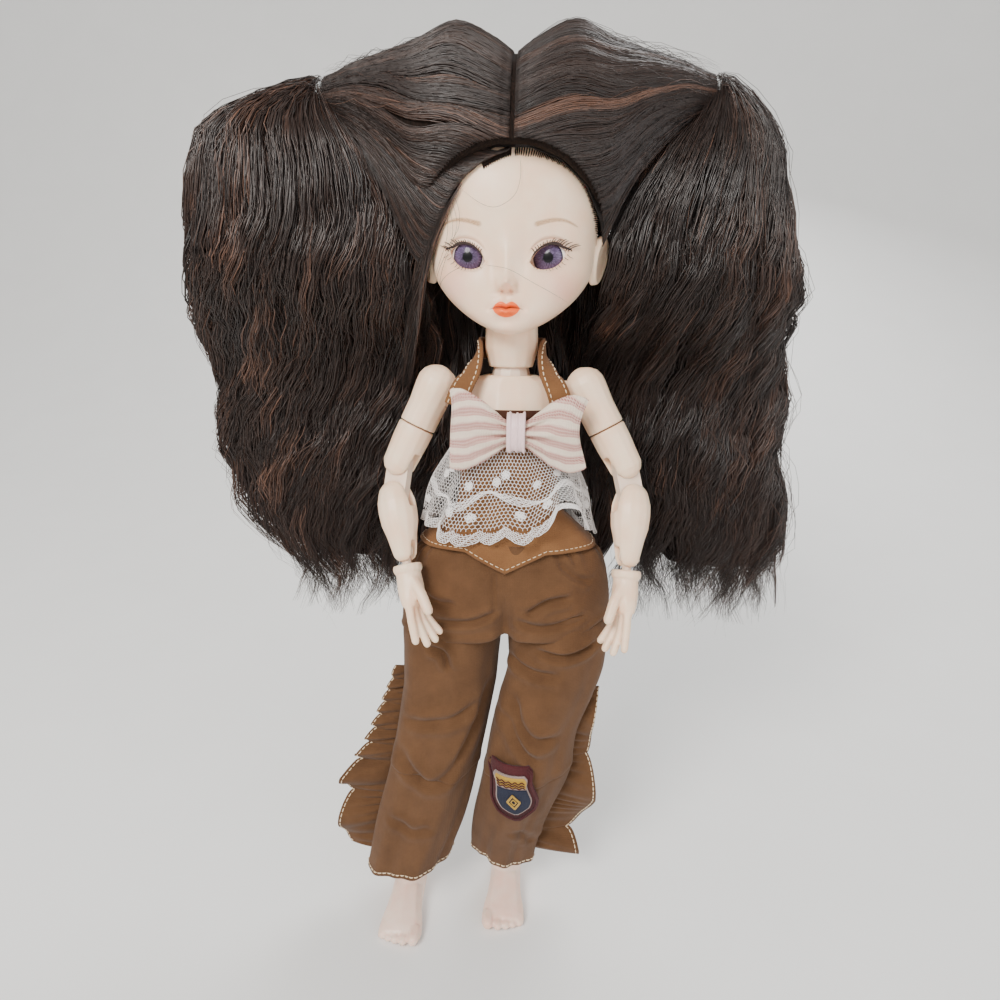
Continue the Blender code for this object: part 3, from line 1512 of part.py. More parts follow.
def make_badge(shin):
    """Shield-shaped patch that follows the front of the left trouser leg."""
    grid = []
    middle_fall = hem_fall(LEFT) - badge_above_hem
    middle_x = leg_cloth_section(LEFT, middle_fall)[0] - badge_beside_axis
    for height, width in badge_share_rows:
        line = []
        for across in (-1.0, -0.5, 0.0, 0.5, 1.0):
            along = across * width * badge_width / 2
            down = (height - 0.5) * badge_height
            x = middle_x + along * cos(badge_tilt) - down * sin(badge_tilt)
            fall = middle_fall + down * cos(badge_tilt) + along * sin(badge_tilt)
            centre_x, centre_y, half_width, half_depth = leg_cloth_section(LEFT, fall)
            aside = min(1.0, abs(x - centre_x) / (half_width + cloth_thickness))
            bow_in = (1 - aside ** cloth_power) ** (1 / cloth_power)
            clear = cloth_thickness + 2 * fold_depth + 2 * cloth_gap
            surface = centre_y - (half_depth + clear) * bow_in
            line.append((Vector((x, surface - badge_thickness, -fall)), Vector((0, -1, 0))))
        grid.append(line)
    badge = slab("badge", grid, badge_thickness, shin, "badge_felt")
    badge.matrix_local = frame_to_hip(shin, LEFT)


def dress_leg(name, side):
    """Trouser leg and frills of one side, and the badge on the left."""
    thigh = bpy.data.objects["thigh_%s_frame" % name]
    shin = bpy.data.objects["knee_lower_" + name]
    make_trouser_leg(name, side, thigh, shin)
    knee_fall = leg_drop / 2
    top_fall = hem_fall(side) * ruffle_share_rows[side][0][0]
    make_ruffle("upper", name, side, thigh, top_fall, knee_fall - cloth_gap, upper_ruffle_waves)
    make_ruffle("lower", name, side, shin, knee_fall + cloth_gap, hem_fall(side), lower_ruffle_waves)
    if side == LEFT:
        make_badge(shin)


def centre_over_origin(root):
    """Move the root so that the doll's outer box is centred on Z."""
    bpy.context.view_layer.update()
    graph = bpy.context.evaluated_depsgraph_get()
    reach = []
    for item in bpy.data.objects:
        if item.type == "MESH" and not item.hide_render:
            mesh = item.evaluated_get(graph).to_mesh()
            reach += [item.matrix_world @ vertex.co for vertex in mesh.vertices]
    for axis in (0, 1):
        places = [point[axis] for point in reach]
        root.location[axis] -= (min(places) + max(places)) / 2


def main():
    clear_scene()
    pelvis = pivot("pelvis_frame", place=(0, 0, hip_z))
    make_pelvis(pelvis)
    for name, side in SIDES.items():
        make_leg(name, side, pelvis)
    waist = pivot("waist_turn", pelvis, (0, 0, hip_to_waist))
    ball("waist_ball", waist_ball_radius, waist, "joint_plastic")
    chest = pivot("waist_bend", waist)
    make_chest(chest)
    for name, side in SIDES.items():
        make_arm(name, side, chest)
    neck = pivot("neck_tilt", chest, (0, neck_setback, waist_to_shoulder + shoulder_to_neck_ball))
    ball("neck_ball", neck_ball_radius, neck, "joint_plastic")
    post = pivot("neck_nod", neck)
    make_neck(post)
    head = pivot("head_turn", post, (0, 0, neck_length))
    head_frame = pivot("head_frame", head, (0, 0, -chin_drop))
    make_head(head_frame)
    make_wig_cap(head_frame)
    make_crown(head_frame)
    make_back_hair(head_frame)
    for name, side in SIDES.items():
        make_bunch(name, side, head_frame)
        make_tie(name, side, head_frame)
        make_strap(name, side, chest)
        dress_leg(name, side)
    make_vest(chest)
    make_lace(chest)
    make_bow(chest)
    make_trouser_seat(pelvis)
    centre_over_origin(pelvis)


main()
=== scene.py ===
"""Looks of the ball jointed doll: materials, hair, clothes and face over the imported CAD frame."""
import json
from math import cos, pi, radians, sin

import bmesh
import bpy
import numpy as np
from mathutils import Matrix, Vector

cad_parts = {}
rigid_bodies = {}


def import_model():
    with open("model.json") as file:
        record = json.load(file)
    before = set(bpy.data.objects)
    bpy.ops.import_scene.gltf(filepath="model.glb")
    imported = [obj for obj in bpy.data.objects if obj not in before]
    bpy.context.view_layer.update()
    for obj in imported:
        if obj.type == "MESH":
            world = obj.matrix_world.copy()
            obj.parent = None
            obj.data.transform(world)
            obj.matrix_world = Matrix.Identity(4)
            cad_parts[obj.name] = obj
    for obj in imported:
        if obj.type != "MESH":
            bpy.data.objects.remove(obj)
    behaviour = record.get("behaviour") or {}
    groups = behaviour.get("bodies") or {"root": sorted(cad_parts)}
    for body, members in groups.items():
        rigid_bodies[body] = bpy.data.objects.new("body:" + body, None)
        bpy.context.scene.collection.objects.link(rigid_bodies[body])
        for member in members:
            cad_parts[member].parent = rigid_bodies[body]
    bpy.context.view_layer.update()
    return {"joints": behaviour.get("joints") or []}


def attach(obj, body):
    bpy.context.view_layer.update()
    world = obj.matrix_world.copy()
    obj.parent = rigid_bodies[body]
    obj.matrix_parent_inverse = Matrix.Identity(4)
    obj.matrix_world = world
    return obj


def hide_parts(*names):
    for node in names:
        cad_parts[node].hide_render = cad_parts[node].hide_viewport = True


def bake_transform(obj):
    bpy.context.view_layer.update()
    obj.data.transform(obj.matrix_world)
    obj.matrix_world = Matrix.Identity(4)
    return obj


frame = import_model()
rng = np.random.default_rng(7)

MM = 0.001
# Sizes below are millimetres in the doll's own frame: X from its middle line, Z from the floor.
neck_place = [joint for joint in frame["joints"] if joint["name"] == "neck_tilt"][0]["pos_m"]
head_y = 2.0
frame_shift = np.array([neck_place[0] / MM, neck_place[1] / MM - head_y, 0.0])
chin = 229.5
face_shift = -0.95
shoulder_height = 212.5
hip_height = 128.0
side_name = {-1: "R", 1: "L"}


def world(points):
    """Doll millimetres to metres in the shared frame."""
    return (np.asarray(points, float) + frame_shift) * MM


def smoothstep(value):
    value = np.clip(value, 0.0, 1.0)
    return value * value * (3 - 2 * value)


def bump(value, centre, spread):
    return np.exp(-((value - centre) / spread) ** 2)


def spline(rows, places):
    """Catmull-Rom through rows, read at places given in row numbers."""
    rows = np.asarray(rows, float)
    places = np.clip(np.asarray(places, float), 0, len(rows) - 1 - 1e-9)
    index = places.astype(int)
    part = (places - index)[:, None]
    at = lambda shift: rows[np.clip(index + shift, 0, len(rows) - 1)]
    p0, p1, p2, p3 = at(-1), at(0), at(1), at(2)
    return p1 + 0.5 * part * (p2 - p0 + part * (2 * p0 - 5 * p1 + 4 * p2 - p3
                                                + part * (3 * (p1 - p2) + p3 - p0)))


def read_rows(rows, column, places):
    """Smooth reading of a table at values of its first column."""
    rows = np.asarray(rows, float)
    numbers = np.interp(places, rows[:, 0], np.arange(len(rows)))
    return spline(rows, np.atleast_1d(numbers))[:, column]


def read_columns(rows, places):
    """Smooth reading of every column after the first, each in the shape of places."""
    return [read_rows(rows, i, np.ravel(places)).reshape(np.shape(places))
            for i in range(1, np.shape(rows)[1])]


cloth_power = 2.2


def oval_point(angle, half_x, half_y, power=cloth_power):
    """A point of a rounded oval, between an ellipse and a box, at an angle round it."""
    across, along = np.cos(angle), np.sin(angle)
    reach = (np.abs(across) ** power + np.abs(along) ** power) ** (-1 / power)
    return half_x * across * reach, half_y * along * reach


def outward(angle):
    return np.stack([np.cos(angle), np.sin(angle), 0 * angle], -1)


def whole_turn(count):
    """Angles of a closed ring, as one row."""
    return np.linspace(0, 2 * pi, count, endpoint=False)[None]


# Meshes

def mesh_from(name, points, faces, material):
    """An object from vertex places in doll millimetres and an array of quads."""
    mesh = bpy.data.meshes.new(name)
    faces = np.asarray(faces, np.int32)
    sides = faces.shape[1]
    mesh.vertices.add(len(points))
    mesh.vertices.foreach_set("co", world(points).astype(np.float32).ravel())
    mesh.loops.add(faces.size)
    mesh.loops.foreach_set("vertex_index", faces.ravel())
    mesh.polygons.add(len(faces))
    mesh.polygons.foreach_set("loop_start", np.arange(0, faces.size, sides, dtype=np.int32))
    mesh.update(calc_edges=True)
    mesh.shade_smooth()
    mesh.materials.append(material)
    item = bpy.data.objects.new(name, mesh)
    bpy.context.collection.objects.link(item)
    return item


def grid_faces(rows, columns, close_columns=False):
    """Quads of a grid of rows × columns points."""
    row = np.arange(rows - 1)[:, None] * columns
    column = np.arange(columns if close_columns else columns - 1)[None]
    following = (column + 1) % columns
    corners = [row + column, row + following, row + columns + following, row + columns + column]
    return np.stack(corners, -1).reshape(-1, 4)


def grid_object(name, grid, material, close_columns=False, flip=False):
    grid = np.asarray(grid, float)
    faces = grid_faces(grid.shape[0], grid.shape[1], close_columns)
    if flip:
        faces = faces[:, ::-1]
    return mesh_from(name, grid.reshape(-1, 3), faces, material)


def give(item, material):
    item.data.materials.clear()
    item.data.materials.append(material)


def thicken(item, thickness, offset=-1.0):
    modifier = item.modifiers.new("Thickness", "SOLIDIFY")
    modifier.thickness = thickness * MM
    modifier.offset = offset
    return item


def attribute(item, name, values):
    layer = item.data.attributes.new(name, "FLOAT", "POINT")
    layer.data.foreach_set("value", np.asarray(values, np.float32).ravel())


def tubes(name, paths, radii, material, sides=3, tones=0.0, taper=0.15):
    """Many thin tubes in one mesh, from strands × points × 3, with one radius and tone or one each."""
    paths = np.asarray(paths, float)
    count, length, _ = paths.shape
    radii = np.broadcast_to(np.asarray(radii, float), (count,))
    tangent = np.gradient(paths, axis=1)
    tangent /= np.linalg.norm(tangent, axis=2, keepdims=True) + 1e-9
    guide = np.where(np.abs(tangent[..., 1:2]) < 0.9, np.array([0, 1.0, 0]), np.array([1.0, 0, 0]))
    side = np.cross(tangent, guide)
    side /= np.linalg.norm(side, axis=2, keepdims=True) + 1e-9
    upright = np.cross(side, tangent)
    along = np.linspace(0, 1, length)
    thin = np.minimum(np.minimum(taper + (1 - along) * 4, taper + along * 12), 1.0)
    width = radii[:, None] * thin[None, :]
    turns = 2 * pi * np.arange(sides) / sides
    ring = (side[:, :, None, :] * np.cos(turns)[None, None, :, None]
            + upright[:, :, None, :] * np.sin(turns)[None, None, :, None])
    points = paths[:, :, None, :] + ring * width[:, :, None, None]
    one = grid_faces(length, sides, close_columns=True)
    faces = (one[None] + (np.arange(count) * length * sides)[:, None, None]).reshape(-1, 4)
    item = mesh_from(name, points.reshape(-1, 3), faces, material)
    tone = np.broadcast_to(np.asarray(tones, float), (count,))
    attribute(item, "tone", np.repeat(tone, length * sides))
    attribute(item, "along", np.tile(np.repeat(along, sides), count))
    return item


# Materials

class Paint:
    """A Principled material with short calls for its nodes."""

    def __init__(self, name, colour=(0.5, 0.5, 0.5), roughness=0.5, **sockets):
        self.material = bpy.data.materials.new(name)
        self.material.use_nodes = True
        self.tree = self.material.node_tree
        self.shader = self.tree.nodes["Principled BSDF"]
        self.shader.inputs["Base Color"].default_value = (*colour, 1)
        self.shader.inputs["Roughness"].default_value = roughness
        for socket, value in sockets.items():
            self.shader.inputs[socket.replace("_", " ").title().replace("Ior", "IOR")].default_value = value

    def node(self, kind, inputs=None, **settings):
        node = self.tree.nodes.new("ShaderNode" + kind)
        for key, value in settings.items():
            setattr(node, key, value)
        for key, value in (inputs or {}).items():
            self.feed(node.inputs[key], value)
        return node

    def feed(self, socket, value):
        if isinstance(value, bpy.types.NodeSocket):
            self.tree.links.new(value, socket)
        elif hasattr(value, "__len__") and len(value) == 3 and socket.type == "RGBA":
            socket.default_value = (*value, 1)
        else:
            socket.default_value = value

    def place(self, stretch=None):
        """Object coordinates in millimetres, which factors for X, Y and Z can stretch."""
        coords = self.vector("MULTIPLY", self.node("TexCoord").outputs["Object"], (1000,) * 3)
        return self.vector("MULTIPLY", coords, stretch) if stretch else coords

    def result(self, node, values):
        for socket, value in zip(node.inputs, values):
            self.feed(socket, value)
        return node.outputs[0]

    def vector(self, operation, *values):
        return self.result(self.node("VectorMath", operation=operation), values)

    def value(self, operation, *values):
        return self.result(self.node("Math", operation=operation), values)

    def times(self, *values):
        return self.value("MULTIPLY", *values)

    def times_add(self, *values):
        """The first value times the second, plus the third."""
        return self.value("MULTIPLY_ADD", *values)

    def noise(self, scale, detail=3.0, coords=None, rough=0.5):
        node = self.node("TexNoise", {"Vector": coords or self.place(), "Scale": scale,
                                      "Detail": detail, "Roughness": rough})
        return node.outputs["Fac"]

    def ramp(self, fac, *stops):
        node = self.node("ValToRGB", {"Fac": fac})
        elements = node.color_ramp.elements
        while len(elements) < len(stops):
            elements.new(0.5)
        for element, (at, colour) in zip(elements, stops):
            element.position = at
            element.color = (*colour, 1) if hasattr(colour, "__len__") else (colour, colour, colour, 1)
        return node.outputs["Color"]

    def mix(self, fac, a, b, blend="MIX"):
        node = self.node("Mix", data_type="RGBA", blend_type=blend)
        self.feed(node.inputs[0], fac)
        self.feed(node.inputs[6], a)
        self.feed(node.inputs[7], b)
        return node.outputs[2]

    def attr(self, name):
        return self.node("Attribute", attribute_name=name).outputs["Fac"]

    def bump(self, height, distance, strength=1.0):
        node = self.node("Bump", {"Height": height, "Distance": distance * MM, "Strength": strength})
        self.tree.links.new(node.outputs[0], self.shader.inputs["Normal"])

    def set(self, socket, value):
        self.feed(self.shader.inputs[socket], value)


def skin_paint(name, pale=(0.93, 0.70, 0.51), warm=(0.90, 0.60, 0.40), face=False):
    """Cast plastic with a soft mottle, and the painted features on the face."""
    paint = Paint(name, pale, 0.36, subsurface_weight=0.18, subsurface_scale=0.004, coat_weight=0.08,
                  coat_roughness=0.25, specular_ior_level=0.35)
    paint.shader.inputs["Subsurface Radius"].default_value = (1.0, 0.45, 0.3)
    mottle = paint.noise(0.12, 3.0)
    colour = paint.mix(paint.ramp(mottle, (0.35, 0.0), (0.75, 1.0)), pale, warm)
    if face:
        brow_hairs = paint.noise(2.2, 2.0, paint.place((1.0, 0.2, 3.0)))
        brow = paint.times(paint.attr("brow"), paint.ramp(brow_hairs, (0.3, 0.45), (0.6, 1.0)))
        lip_tint = paint.mix(paint.noise(0.9, 3.0), (0.85, 0.09, 0.008), (0.92, 0.16, 0.025))
        for share, tint in ((paint.times(paint.attr("blush"), 0.5), (0.86, 0.42, 0.33)),
                            (paint.times(paint.attr("shade"), 0.6), (0.55, 0.27, 0.17)),
                            (brow, (0.42, 0.24, 0.12)), (paint.attr("lip"), lip_tint),
                            (paint.attr("line"), (0.2, 0.035, 0.02))):
            colour = paint.mix(share, colour, tint)
        paint.set("Roughness", paint.mix(paint.attr("lip"), (0.36,) * 3, (0.24,) * 3))
    paint.set("Base Color", colour)
    paint.bump(paint.noise(0.6, 4.0), 0.05, 0.25)
    return paint.material


def weave(paint, scale, depth):
    """Fine crossed threads as a bump, and their height, which callers use for painted shade that darkens the
    grooves between the threads.
    """
    wave = {"Vector": paint.place(), "Scale": scale, "Distortion": 1.5, "Detail": 1.0, "Detail Scale": 1.0}
    threads = [paint.node("TexWave", wave, bands_direction=way).outputs["Fac"] for way in "XZ"]
    height = paint.value("MAXIMUM", *threads)
    paint.bump(height, depth, 0.6)
    return height


def cotton_paint(name, dark, light, depth=0.12):
    paint = Paint(name, light, 0.9, sheen_weight=0.08, sheen_roughness=0.5, specular_ior_level=0.2)
    height = weave(paint, 0.55, depth)
    patches = paint.ramp(paint.noise(0.09, 5.0, rough=0.65), (0.3, 0.0), (0.7, 1.0))
    fine = paint.noise(1.4, 3.0)
    # Random fine flecks, plus painted shade: the grooves between the threads darker than the raised threads.
    tint = paint.times_add(fine, 0.5, paint.times(height, 0.3))
    share = paint.times_add(patches, 0.55, paint.times(tint, 0.45))
    paint.set("Base Color", paint.mix(share, dark, light))
    return paint.material


def hair_paint():
    paint = Paint("hair", (0.03, 0.016, 0.011), 0.38, specular_ior_level=0.6, anisotropic=0.6)
    tone = paint.attr("tone")
    streak = paint.noise(0.5, 3.0)
    colour = paint.ramp(tone, (0.0, (0.008, 0.0045, 0.0035)), (0.5, (0.024, 0.012, 0.008)),
                        (0.8, (0.06, 0.028, 0.017)), (1.0, (0.17, 0.085, 0.055)))
    paint.set("Base Color", paint.mix(paint.times(streak, 0.3), colour, (0.04, 0.018, 0.012)))
    paint.set("Roughness", paint.ramp(streak, (0.3, 0.3), (0.7, 0.5)))
    return paint.material


def hair_mass_paint():
    """Dark hair under the strands, with combed streaks."""
    paint = Paint("hair_mass", (0.006, 0.004, 0.003), 0.85, specular_ior_level=0.12)
    coords = paint.place((2.6, 2.6, 0.18))
    streak = paint.noise(1.0, 4.0, coords)
    paint.set("Base Color", paint.ramp(streak, (0.35, (0.004, 0.0028, 0.002)), (0.7, (0.02, 0.011, 0.008))))
    paint.bump(streak, 0.4, 0.6)
    return paint.material


def thread_paint(name, colour, shadow):
    paint = Paint(name, colour, 0.75, sheen_weight=0.3)
    twist = paint.noise(3.0, 2.0)
    paint.set("Base Color", paint.mix(twist, shadow, colour))
    paint.bump(twist, 0.05, 0.5)
    return paint.material


def eye_paint(centre):
    """White of the eye, violet iris with dark spokes and rim, and the pupil, by distance from the axis."""
    iris_radius = 4.6
    paint = Paint("eye", (0.9, 0.9, 0.9), 0.3, specular_ior_level=0.15, coat_weight=0.3,
                  coat_roughness=0.03)
    offset = paint.vector("SUBTRACT", paint.place(), tuple(centre + frame_shift))
    parts = paint.node("SeparateXYZ", {"Vector": offset})
    x, z = parts.outputs["X"], parts.outputs["Z"]
    radius = paint.value("SQRT", paint.value("ADD", paint.times(x, x), paint.times(z, z)))
    angle = paint.value("ARCTAN2", z, x)
    flat = paint.node("CombineXYZ", {"X": paint.times(angle, 5.5), "Y": paint.times(radius, 0.35)})
    spokes = paint.noise(2.4, 3.0, flat.outputs[0])
    share = paint.value("DIVIDE", radius, iris_radius)
    body = paint.ramp(share, (0.30, (0.012, 0.007, 0.016)), (0.48, (0.045, 0.028, 0.06)),
                      (0.76, (0.085, 0.058, 0.12)), (0.93, (0.02, 0.012, 0.03)))
    light = paint.ramp(spokes, (0.45, 0.0), (0.62, 1.0))
    iris = paint.mix(paint.times(light, 0.7), body, (0.17, 0.125, 0.23))
    for begin, end, colour in (((0.86, 0.0), (0.97, 1.0), (0.012, 0.008, 0.03)),
                               ((0.31, 1.0), (0.37, 0.0), (0.002, 0.002, 0.003)),
                               ((0.985, 0.0), (1.03, 1.0), (0.86, 0.85, 0.84))):
        iris = paint.mix(paint.ramp(share, begin, end), iris, colour)
    paint.set("Base Color", iris)
    return paint.material


def net_paint():
    paint = Paint("wig_net", (0.01, 0.007, 0.006), 0.8)
    height = weave(paint, 0.6, 0.2)
    # Painted shade: the grooves between the threads darker than the raised threads.
    paint.set("Base Color", paint.mix(height, (0.004, 0.003, 0.003), (0.02, 0.013, 0.01)))
    return paint.material


def elastic_paint():
    paint = Paint("elastic", (0.3, 0.32, 0.32), 0.25, transmission_weight=0.5)
    paint.set("Base Color", paint.mix(paint.noise(1.5), (0.2, 0.21, 0.21), (0.45, 0.47, 0.47)))
    return paint.material


def twill_paint():
    """Cream twill with dusty red bands and short dashes, which fan out from the knot."""
    paint = Paint("striped_twill", (0.8, 0.6, 0.5), 0.85, sheen_weight=0.1, specular_ior_level=0.2)
    across, along = paint.attr("across"), paint.attr("along")
    wobble = paint.noise(0.16, 3.0)
    line = paint.times_add(wobble, 2.4, paint.times_add(along, 0.22, across))
    band = paint.value("FRACT", paint.times(line, 0.215))
    pink = paint.ramp(band, (0.02, 0.0), (0.10, 1.0), (0.58, 1.0), (0.70, 0.0))
    core = paint.ramp(band, (0.12, 0.0), (0.22, 1.0), (0.46, 1.0), (0.56, 0.0))
    slant = paint.times_add(across, 0.9, along)
    dash = paint.ramp(paint.value("FRACT", paint.times(slant, 1.25)),
                      (0.15, 0.0), (0.32, 1.0), (0.62, 1.0), (0.80, 0.0))
    rib = paint.ramp(paint.value("FRACT", paint.times(line, 1.075)),
                     (0.08, 0.0), (0.30, 1.0), (0.62, 1.0), (0.85, 0.0))
    speckle = paint.times(dash, rib)
    thread = paint.times_add(speckle, 0.55, 0.42)
    cream = paint.mix(paint.noise(1.2, 2.0), (0.80, 0.64, 0.50), (0.86, 0.74, 0.62))
    colour = paint.mix(paint.times(pink, thread), cream, (0.50, 0.17, 0.16))
    colour = paint.mix(paint.times(core, speckle), colour, (0.34, 0.075, 0.08))
    paint.set("Base Color", colour)
    ribs = paint.value("SINE", paint.times(line, 6.754))
    cross = paint.value("SINE", paint.times(slant, 7.854))
    paint.bump(paint.times(ribs, cross), 0.16, 0.8)
    return paint.material


def satin_paint():
    paint = Paint("pink_satin", (0.82, 0.6, 0.6), 0.3, sheen_weight=0.4, anisotropic=0.5)
    grain = paint.noise(1.6, 3.0, paint.place((3.0, 1.0, 0.6)))
    paint.set("Base Color", paint.mix(grain, (0.7, 0.46, 0.47), (0.88, 0.68, 0.68)))
    paint.bump(grain, 0.12, 0.6)
    return paint.material


skin = skin_paint("skin")
face_skin = skin_paint("face_skin", face=True)
joint_skin = skin_paint("joint_plastic", (0.82, 0.65, 0.52), (0.78, 0.57, 0.42))
feet_skin = skin_paint("foot_skin", (0.86, 0.66, 0.55), (0.82, 0.53, 0.42))
hair = hair_paint()
hair_mass = hair_mass_paint()
wig_net = net_paint()
vest_cloth = cotton_paint("vest_cotton", (0.13, 0.055, 0.021), (0.22, 0.105, 0.042))
trouser_cloth = cotton_paint("trouser_cotton", (0.068, 0.031, 0.013), (0.13, 0.063, 0.028))
dark_cloth = cotton_paint("dark_cotton", (0.04, 0.014, 0.008), (0.09, 0.035, 0.02))
cream_thread = thread_paint("cream_thread", (0.86, 0.72, 0.5), (0.6, 0.42, 0.25))
lace_thread = thread_paint("lace_thread", (0.9, 0.88, 0.86), (0.66, 0.63, 0.62))
elastic = elastic_paint()


# Head

head_rows = np.array([
    # height, half width, front, back, as shares of height, half width and depth
    (0.0, 0.0, -0.31, -0.31), (0.015, 0.17, -0.395, -0.20), (0.05, 0.37, -0.430, -0.02),
    (0.09, 0.53, -0.440, 0.10), (0.125, 0.64, -0.440, 0.19), (0.16, 0.735, -0.440, 0.26),
    (0.20, 0.82, -0.440, 0.33), (0.235, 0.88, -0.440, 0.37), (0.275, 0.93, -0.438, 0.42),
    (0.33, 0.962, -0.432, 0.46), (0.40, 0.978, -0.428, 0.50), (0.48, 1.00, -0.432, 0.53),
    (0.58, 1.00, -0.434, 0.55), (0.68, 0.975, -0.420, 0.54), (0.78, 0.89, -0.368, 0.50),
    (0.87, 0.745, -0.285, 0.42), (0.94, 0.53, -0.165, 0.31), (0.985, 0.27, -0.045, 0.185),
    (1.0, 0.0, 0.065, 0.065)])
head_size = np.array([68.0, 27.4, 48.0, 48.0])
head_power = 2.25
head_middle = 0.46
eye_half = 5.4
lid_half = 6.2
lip_half = 4.4
dense_rows = spline(head_rows, np.linspace(0, len(head_rows) - 1, 600)) * head_size
eye_centres = {side: np.array([side * 12.35 + face_shift, 0.0, 23.1]) for side in (-1, 1)}


def face_y(x, z):
    """Depth of the plain face at x and z above the chin."""
    half, front, back = (np.interp(z, dense_rows[:, 0], dense_rows[:, i]) for i in (1, 2, 3))
    middle = front + (back - front) * head_middle
    across = np.clip(np.abs(x) / np.maximum(half, 1e-3), 0, 1)
    return head_y + middle - (middle - front) * (1 - across ** head_power) ** (1 / head_power)


def eye_edge(s, upper):
    """Height of a lid's edge over the eye's centre at s, -1 at the inner corner and 1 at the outer."""
    s = np.clip(s, -1, 1)
    if upper:
        return 1.45 * s + 3.7 * np.maximum(0, 1 - np.abs(s) ** 2.2) ** 0.75 - 0.35 * s * (1 - s * s)
    return 1.45 * s - 3.4 * np.maximum(0, 1 - np.abs(s) ** 2.4) ** 0.8 - 0.5 * s * (1 - s * s)


def eye_inside(x, z, side):
    """How far a point of the face is inside the eye opening, in millimetres."""
    centre = eye_centres[side]
    s = (x - centre[0]) * side / eye_half
    up = z - centre[2]
    inside = np.minimum(eye_edge(s, True) - up, up - eye_edge(s, False))
    ends = (1 - np.abs(s)) * eye_half
    outside = -np.hypot((np.abs(s) - 1) * eye_half, up - 1.45 * np.sign(s))
    return np.where(np.abs(s) < 1, np.minimum(inside, ends * 1.2), outside)


def lid_crease(x, z, side):
    """Height over the crease of the upper lid, and the distance aside from the eye's centre."""
    centre = eye_centres[side]
    height = z - centre[2] - eye_edge((x - centre[0]) * side / lid_half, True) - 1.7
    return height, np.abs(x - centre[0])


def distance_to_line(x, z, line):
    """Distance from points to a polyline, and the share of its length at the nearest place."""
    line = np.asarray(line, float)
    best = np.full(x.shape, 1e9)
    where = np.zeros(x.shape)
    total = len(line) - 1
    for i in range(total):
        a, b = line[i], line[i + 1]
        d = b - a
        t = np.clip(((x - a[0]) * d[0] + (z - a[1]) * d[1]) / (d @ d), 0, 1)
        gap = np.hypot(x - a[0] - t * d[0], z - a[1] - t * d[1])
        where = np.where(gap < best, (i + t) / total, where)
        best = np.minimum(best, gap)
    return best, where


def mirrored(*half):
    """A line of (x, z) points that is alike on both sides, from its left half up to the middle."""
    half = np.array(half)
    return np.concatenate([half, half[-2::-1] * (-1, 1)])


brow_rows = [(7.6, 32.0), (10.0, 32.7), (13.6, 33.6), (17.4, 33.6), (21.2, 32.2)]
brow_line = spline(brow_rows, np.linspace(0, 4, 17))
lip_top = mirrored((-4.4, 7.9), (-3.3, 9.2), (-1.9, 9.95), (-0.8, 9.75), (0.0, 9.35))
lip_low = mirrored((-4.4, 7.9), (-3.4, 6.6), (-1.9, 5.65), (0.0, 5.3))
lip_seam = mirrored((-5.3, 7.7), (-4.2, 8.0), (-1.4, 8.3), (0.0, 8.0))

# Soft spots of the face in millimetres: amount, height over the chin and its spread, place aside and
# its spread. A spot off the middle has a twin on the other side.
relief_spots = [
    (3.3, 15.3, 1.9, 0, 1.9), (1.5, 14.6, 1.4, 2.2, 0.95),  # nose and its wings
    (-1.0, 12.5, 0.7, 0, 3.0), (-1.3, 13.15, 0.5, 1.4, 0.7),  # under the nose, nostrils
    (-0.3, 11.4, 1.2, 0, 0.8), (-0.45, 7.9, 1.1, 5.5, 0.9),  # groove and corners of the mouth
    (-0.5, 4.2, 1.1, 0, 4.0), (0.6, 1.8, 1.8, 0, 3.5),  # chin
    (0.7, 13.5, 6.0, 13, 5), (-1.3, 25.5, 6.5, 11.5, 6.5), (-0.6, 22.0, 6.5, 4.8, 1.9)]  # cheeks, sockets
blush_spots = [(1, 14.5, 5.5, 17, 5.5), (0.5, 14.5, 2.2, 0, 2.2), (0.35, 1, 3, 0, 5), (0.3, 7.8, 3.4, 0, 7),
               (0.3, 25.0, 6.5, 12, 7.5)]
# Painted shade on the face: at the nostrils, beside and under the nose, beside the root of the nose and under the
# lower lip.
shade_spots = [(0.55, 13.1, 0.4, 1.4, 0.7), (0.30, 15.0, 2.1, 3.25, 0.6), (0.28, 12.5, 0.5, 0, 2.4),
               (0.10, 24.5, 5.0, 4.6, 1.7), (0.10, 4.3, 0.8, 0, 3.2)]


def add_spots(rows, x, z):
    total = np.zeros(np.shape(x))
    for amount, z0, tall, x0, wide in rows:
        aside = bump(x, x0, wide) + (bump(x, -x0, wide) if x0 else 0)
        total = total + amount * bump(z, z0, tall) * aside
    return total


def smooth_line(line, places):
    """Smooth height of a line of (x, z) points at given x."""
    numbers = np.interp(places, line[:, 0], np.arange(len(line)))
    return spline(line, numbers.ravel())[:, 1].reshape(np.shape(places))


def face_relief(x, z, open_eyes=True):
    """How far the features stand forward of the plain face, in millimetres."""
    u = x - face_shift
    ridge = 1.35 * smoothstep((z - 13.5) / 3) * smoothstep((33 - z) / 14) * bump(u, 0, 1.9)
    lips = smooth_line(lip_seam, u)
    wide = np.clip(1 - np.abs(u / 4.8) ** 2.4, 0, 1)
    upper = 1.25 * bump(z, lips + 1.05, 1.0) * wide
    lower = 1.5 * bump(z, lips - 1.15, 1.05) * np.clip(1 - np.abs(u / 4.3) ** 2.2, 0, 1)
    seam = -0.85 * bump(z, lips, 0.32) * wide
    total = add_spots(relief_spots, u, z) + ridge + upper + lower + seam
    for side in side_name:
        inside = eye_inside(x, z, side)
        total = total + 0.35 * bump(inside, -0.35, 0.4)
        if open_eyes:
            total = total - 5.5 * smoothstep((inside + 0.05) / 0.3)
        crease, aside = lid_crease(x, z, side)
        reach = smoothstep((lid_half + 0.2 - aside) / 2.5)
        total = total - 0.3 * bump(crease, 0, 0.35) * reach + 0.2 * bump(crease, 0.9, 0.7) * reach
    return total


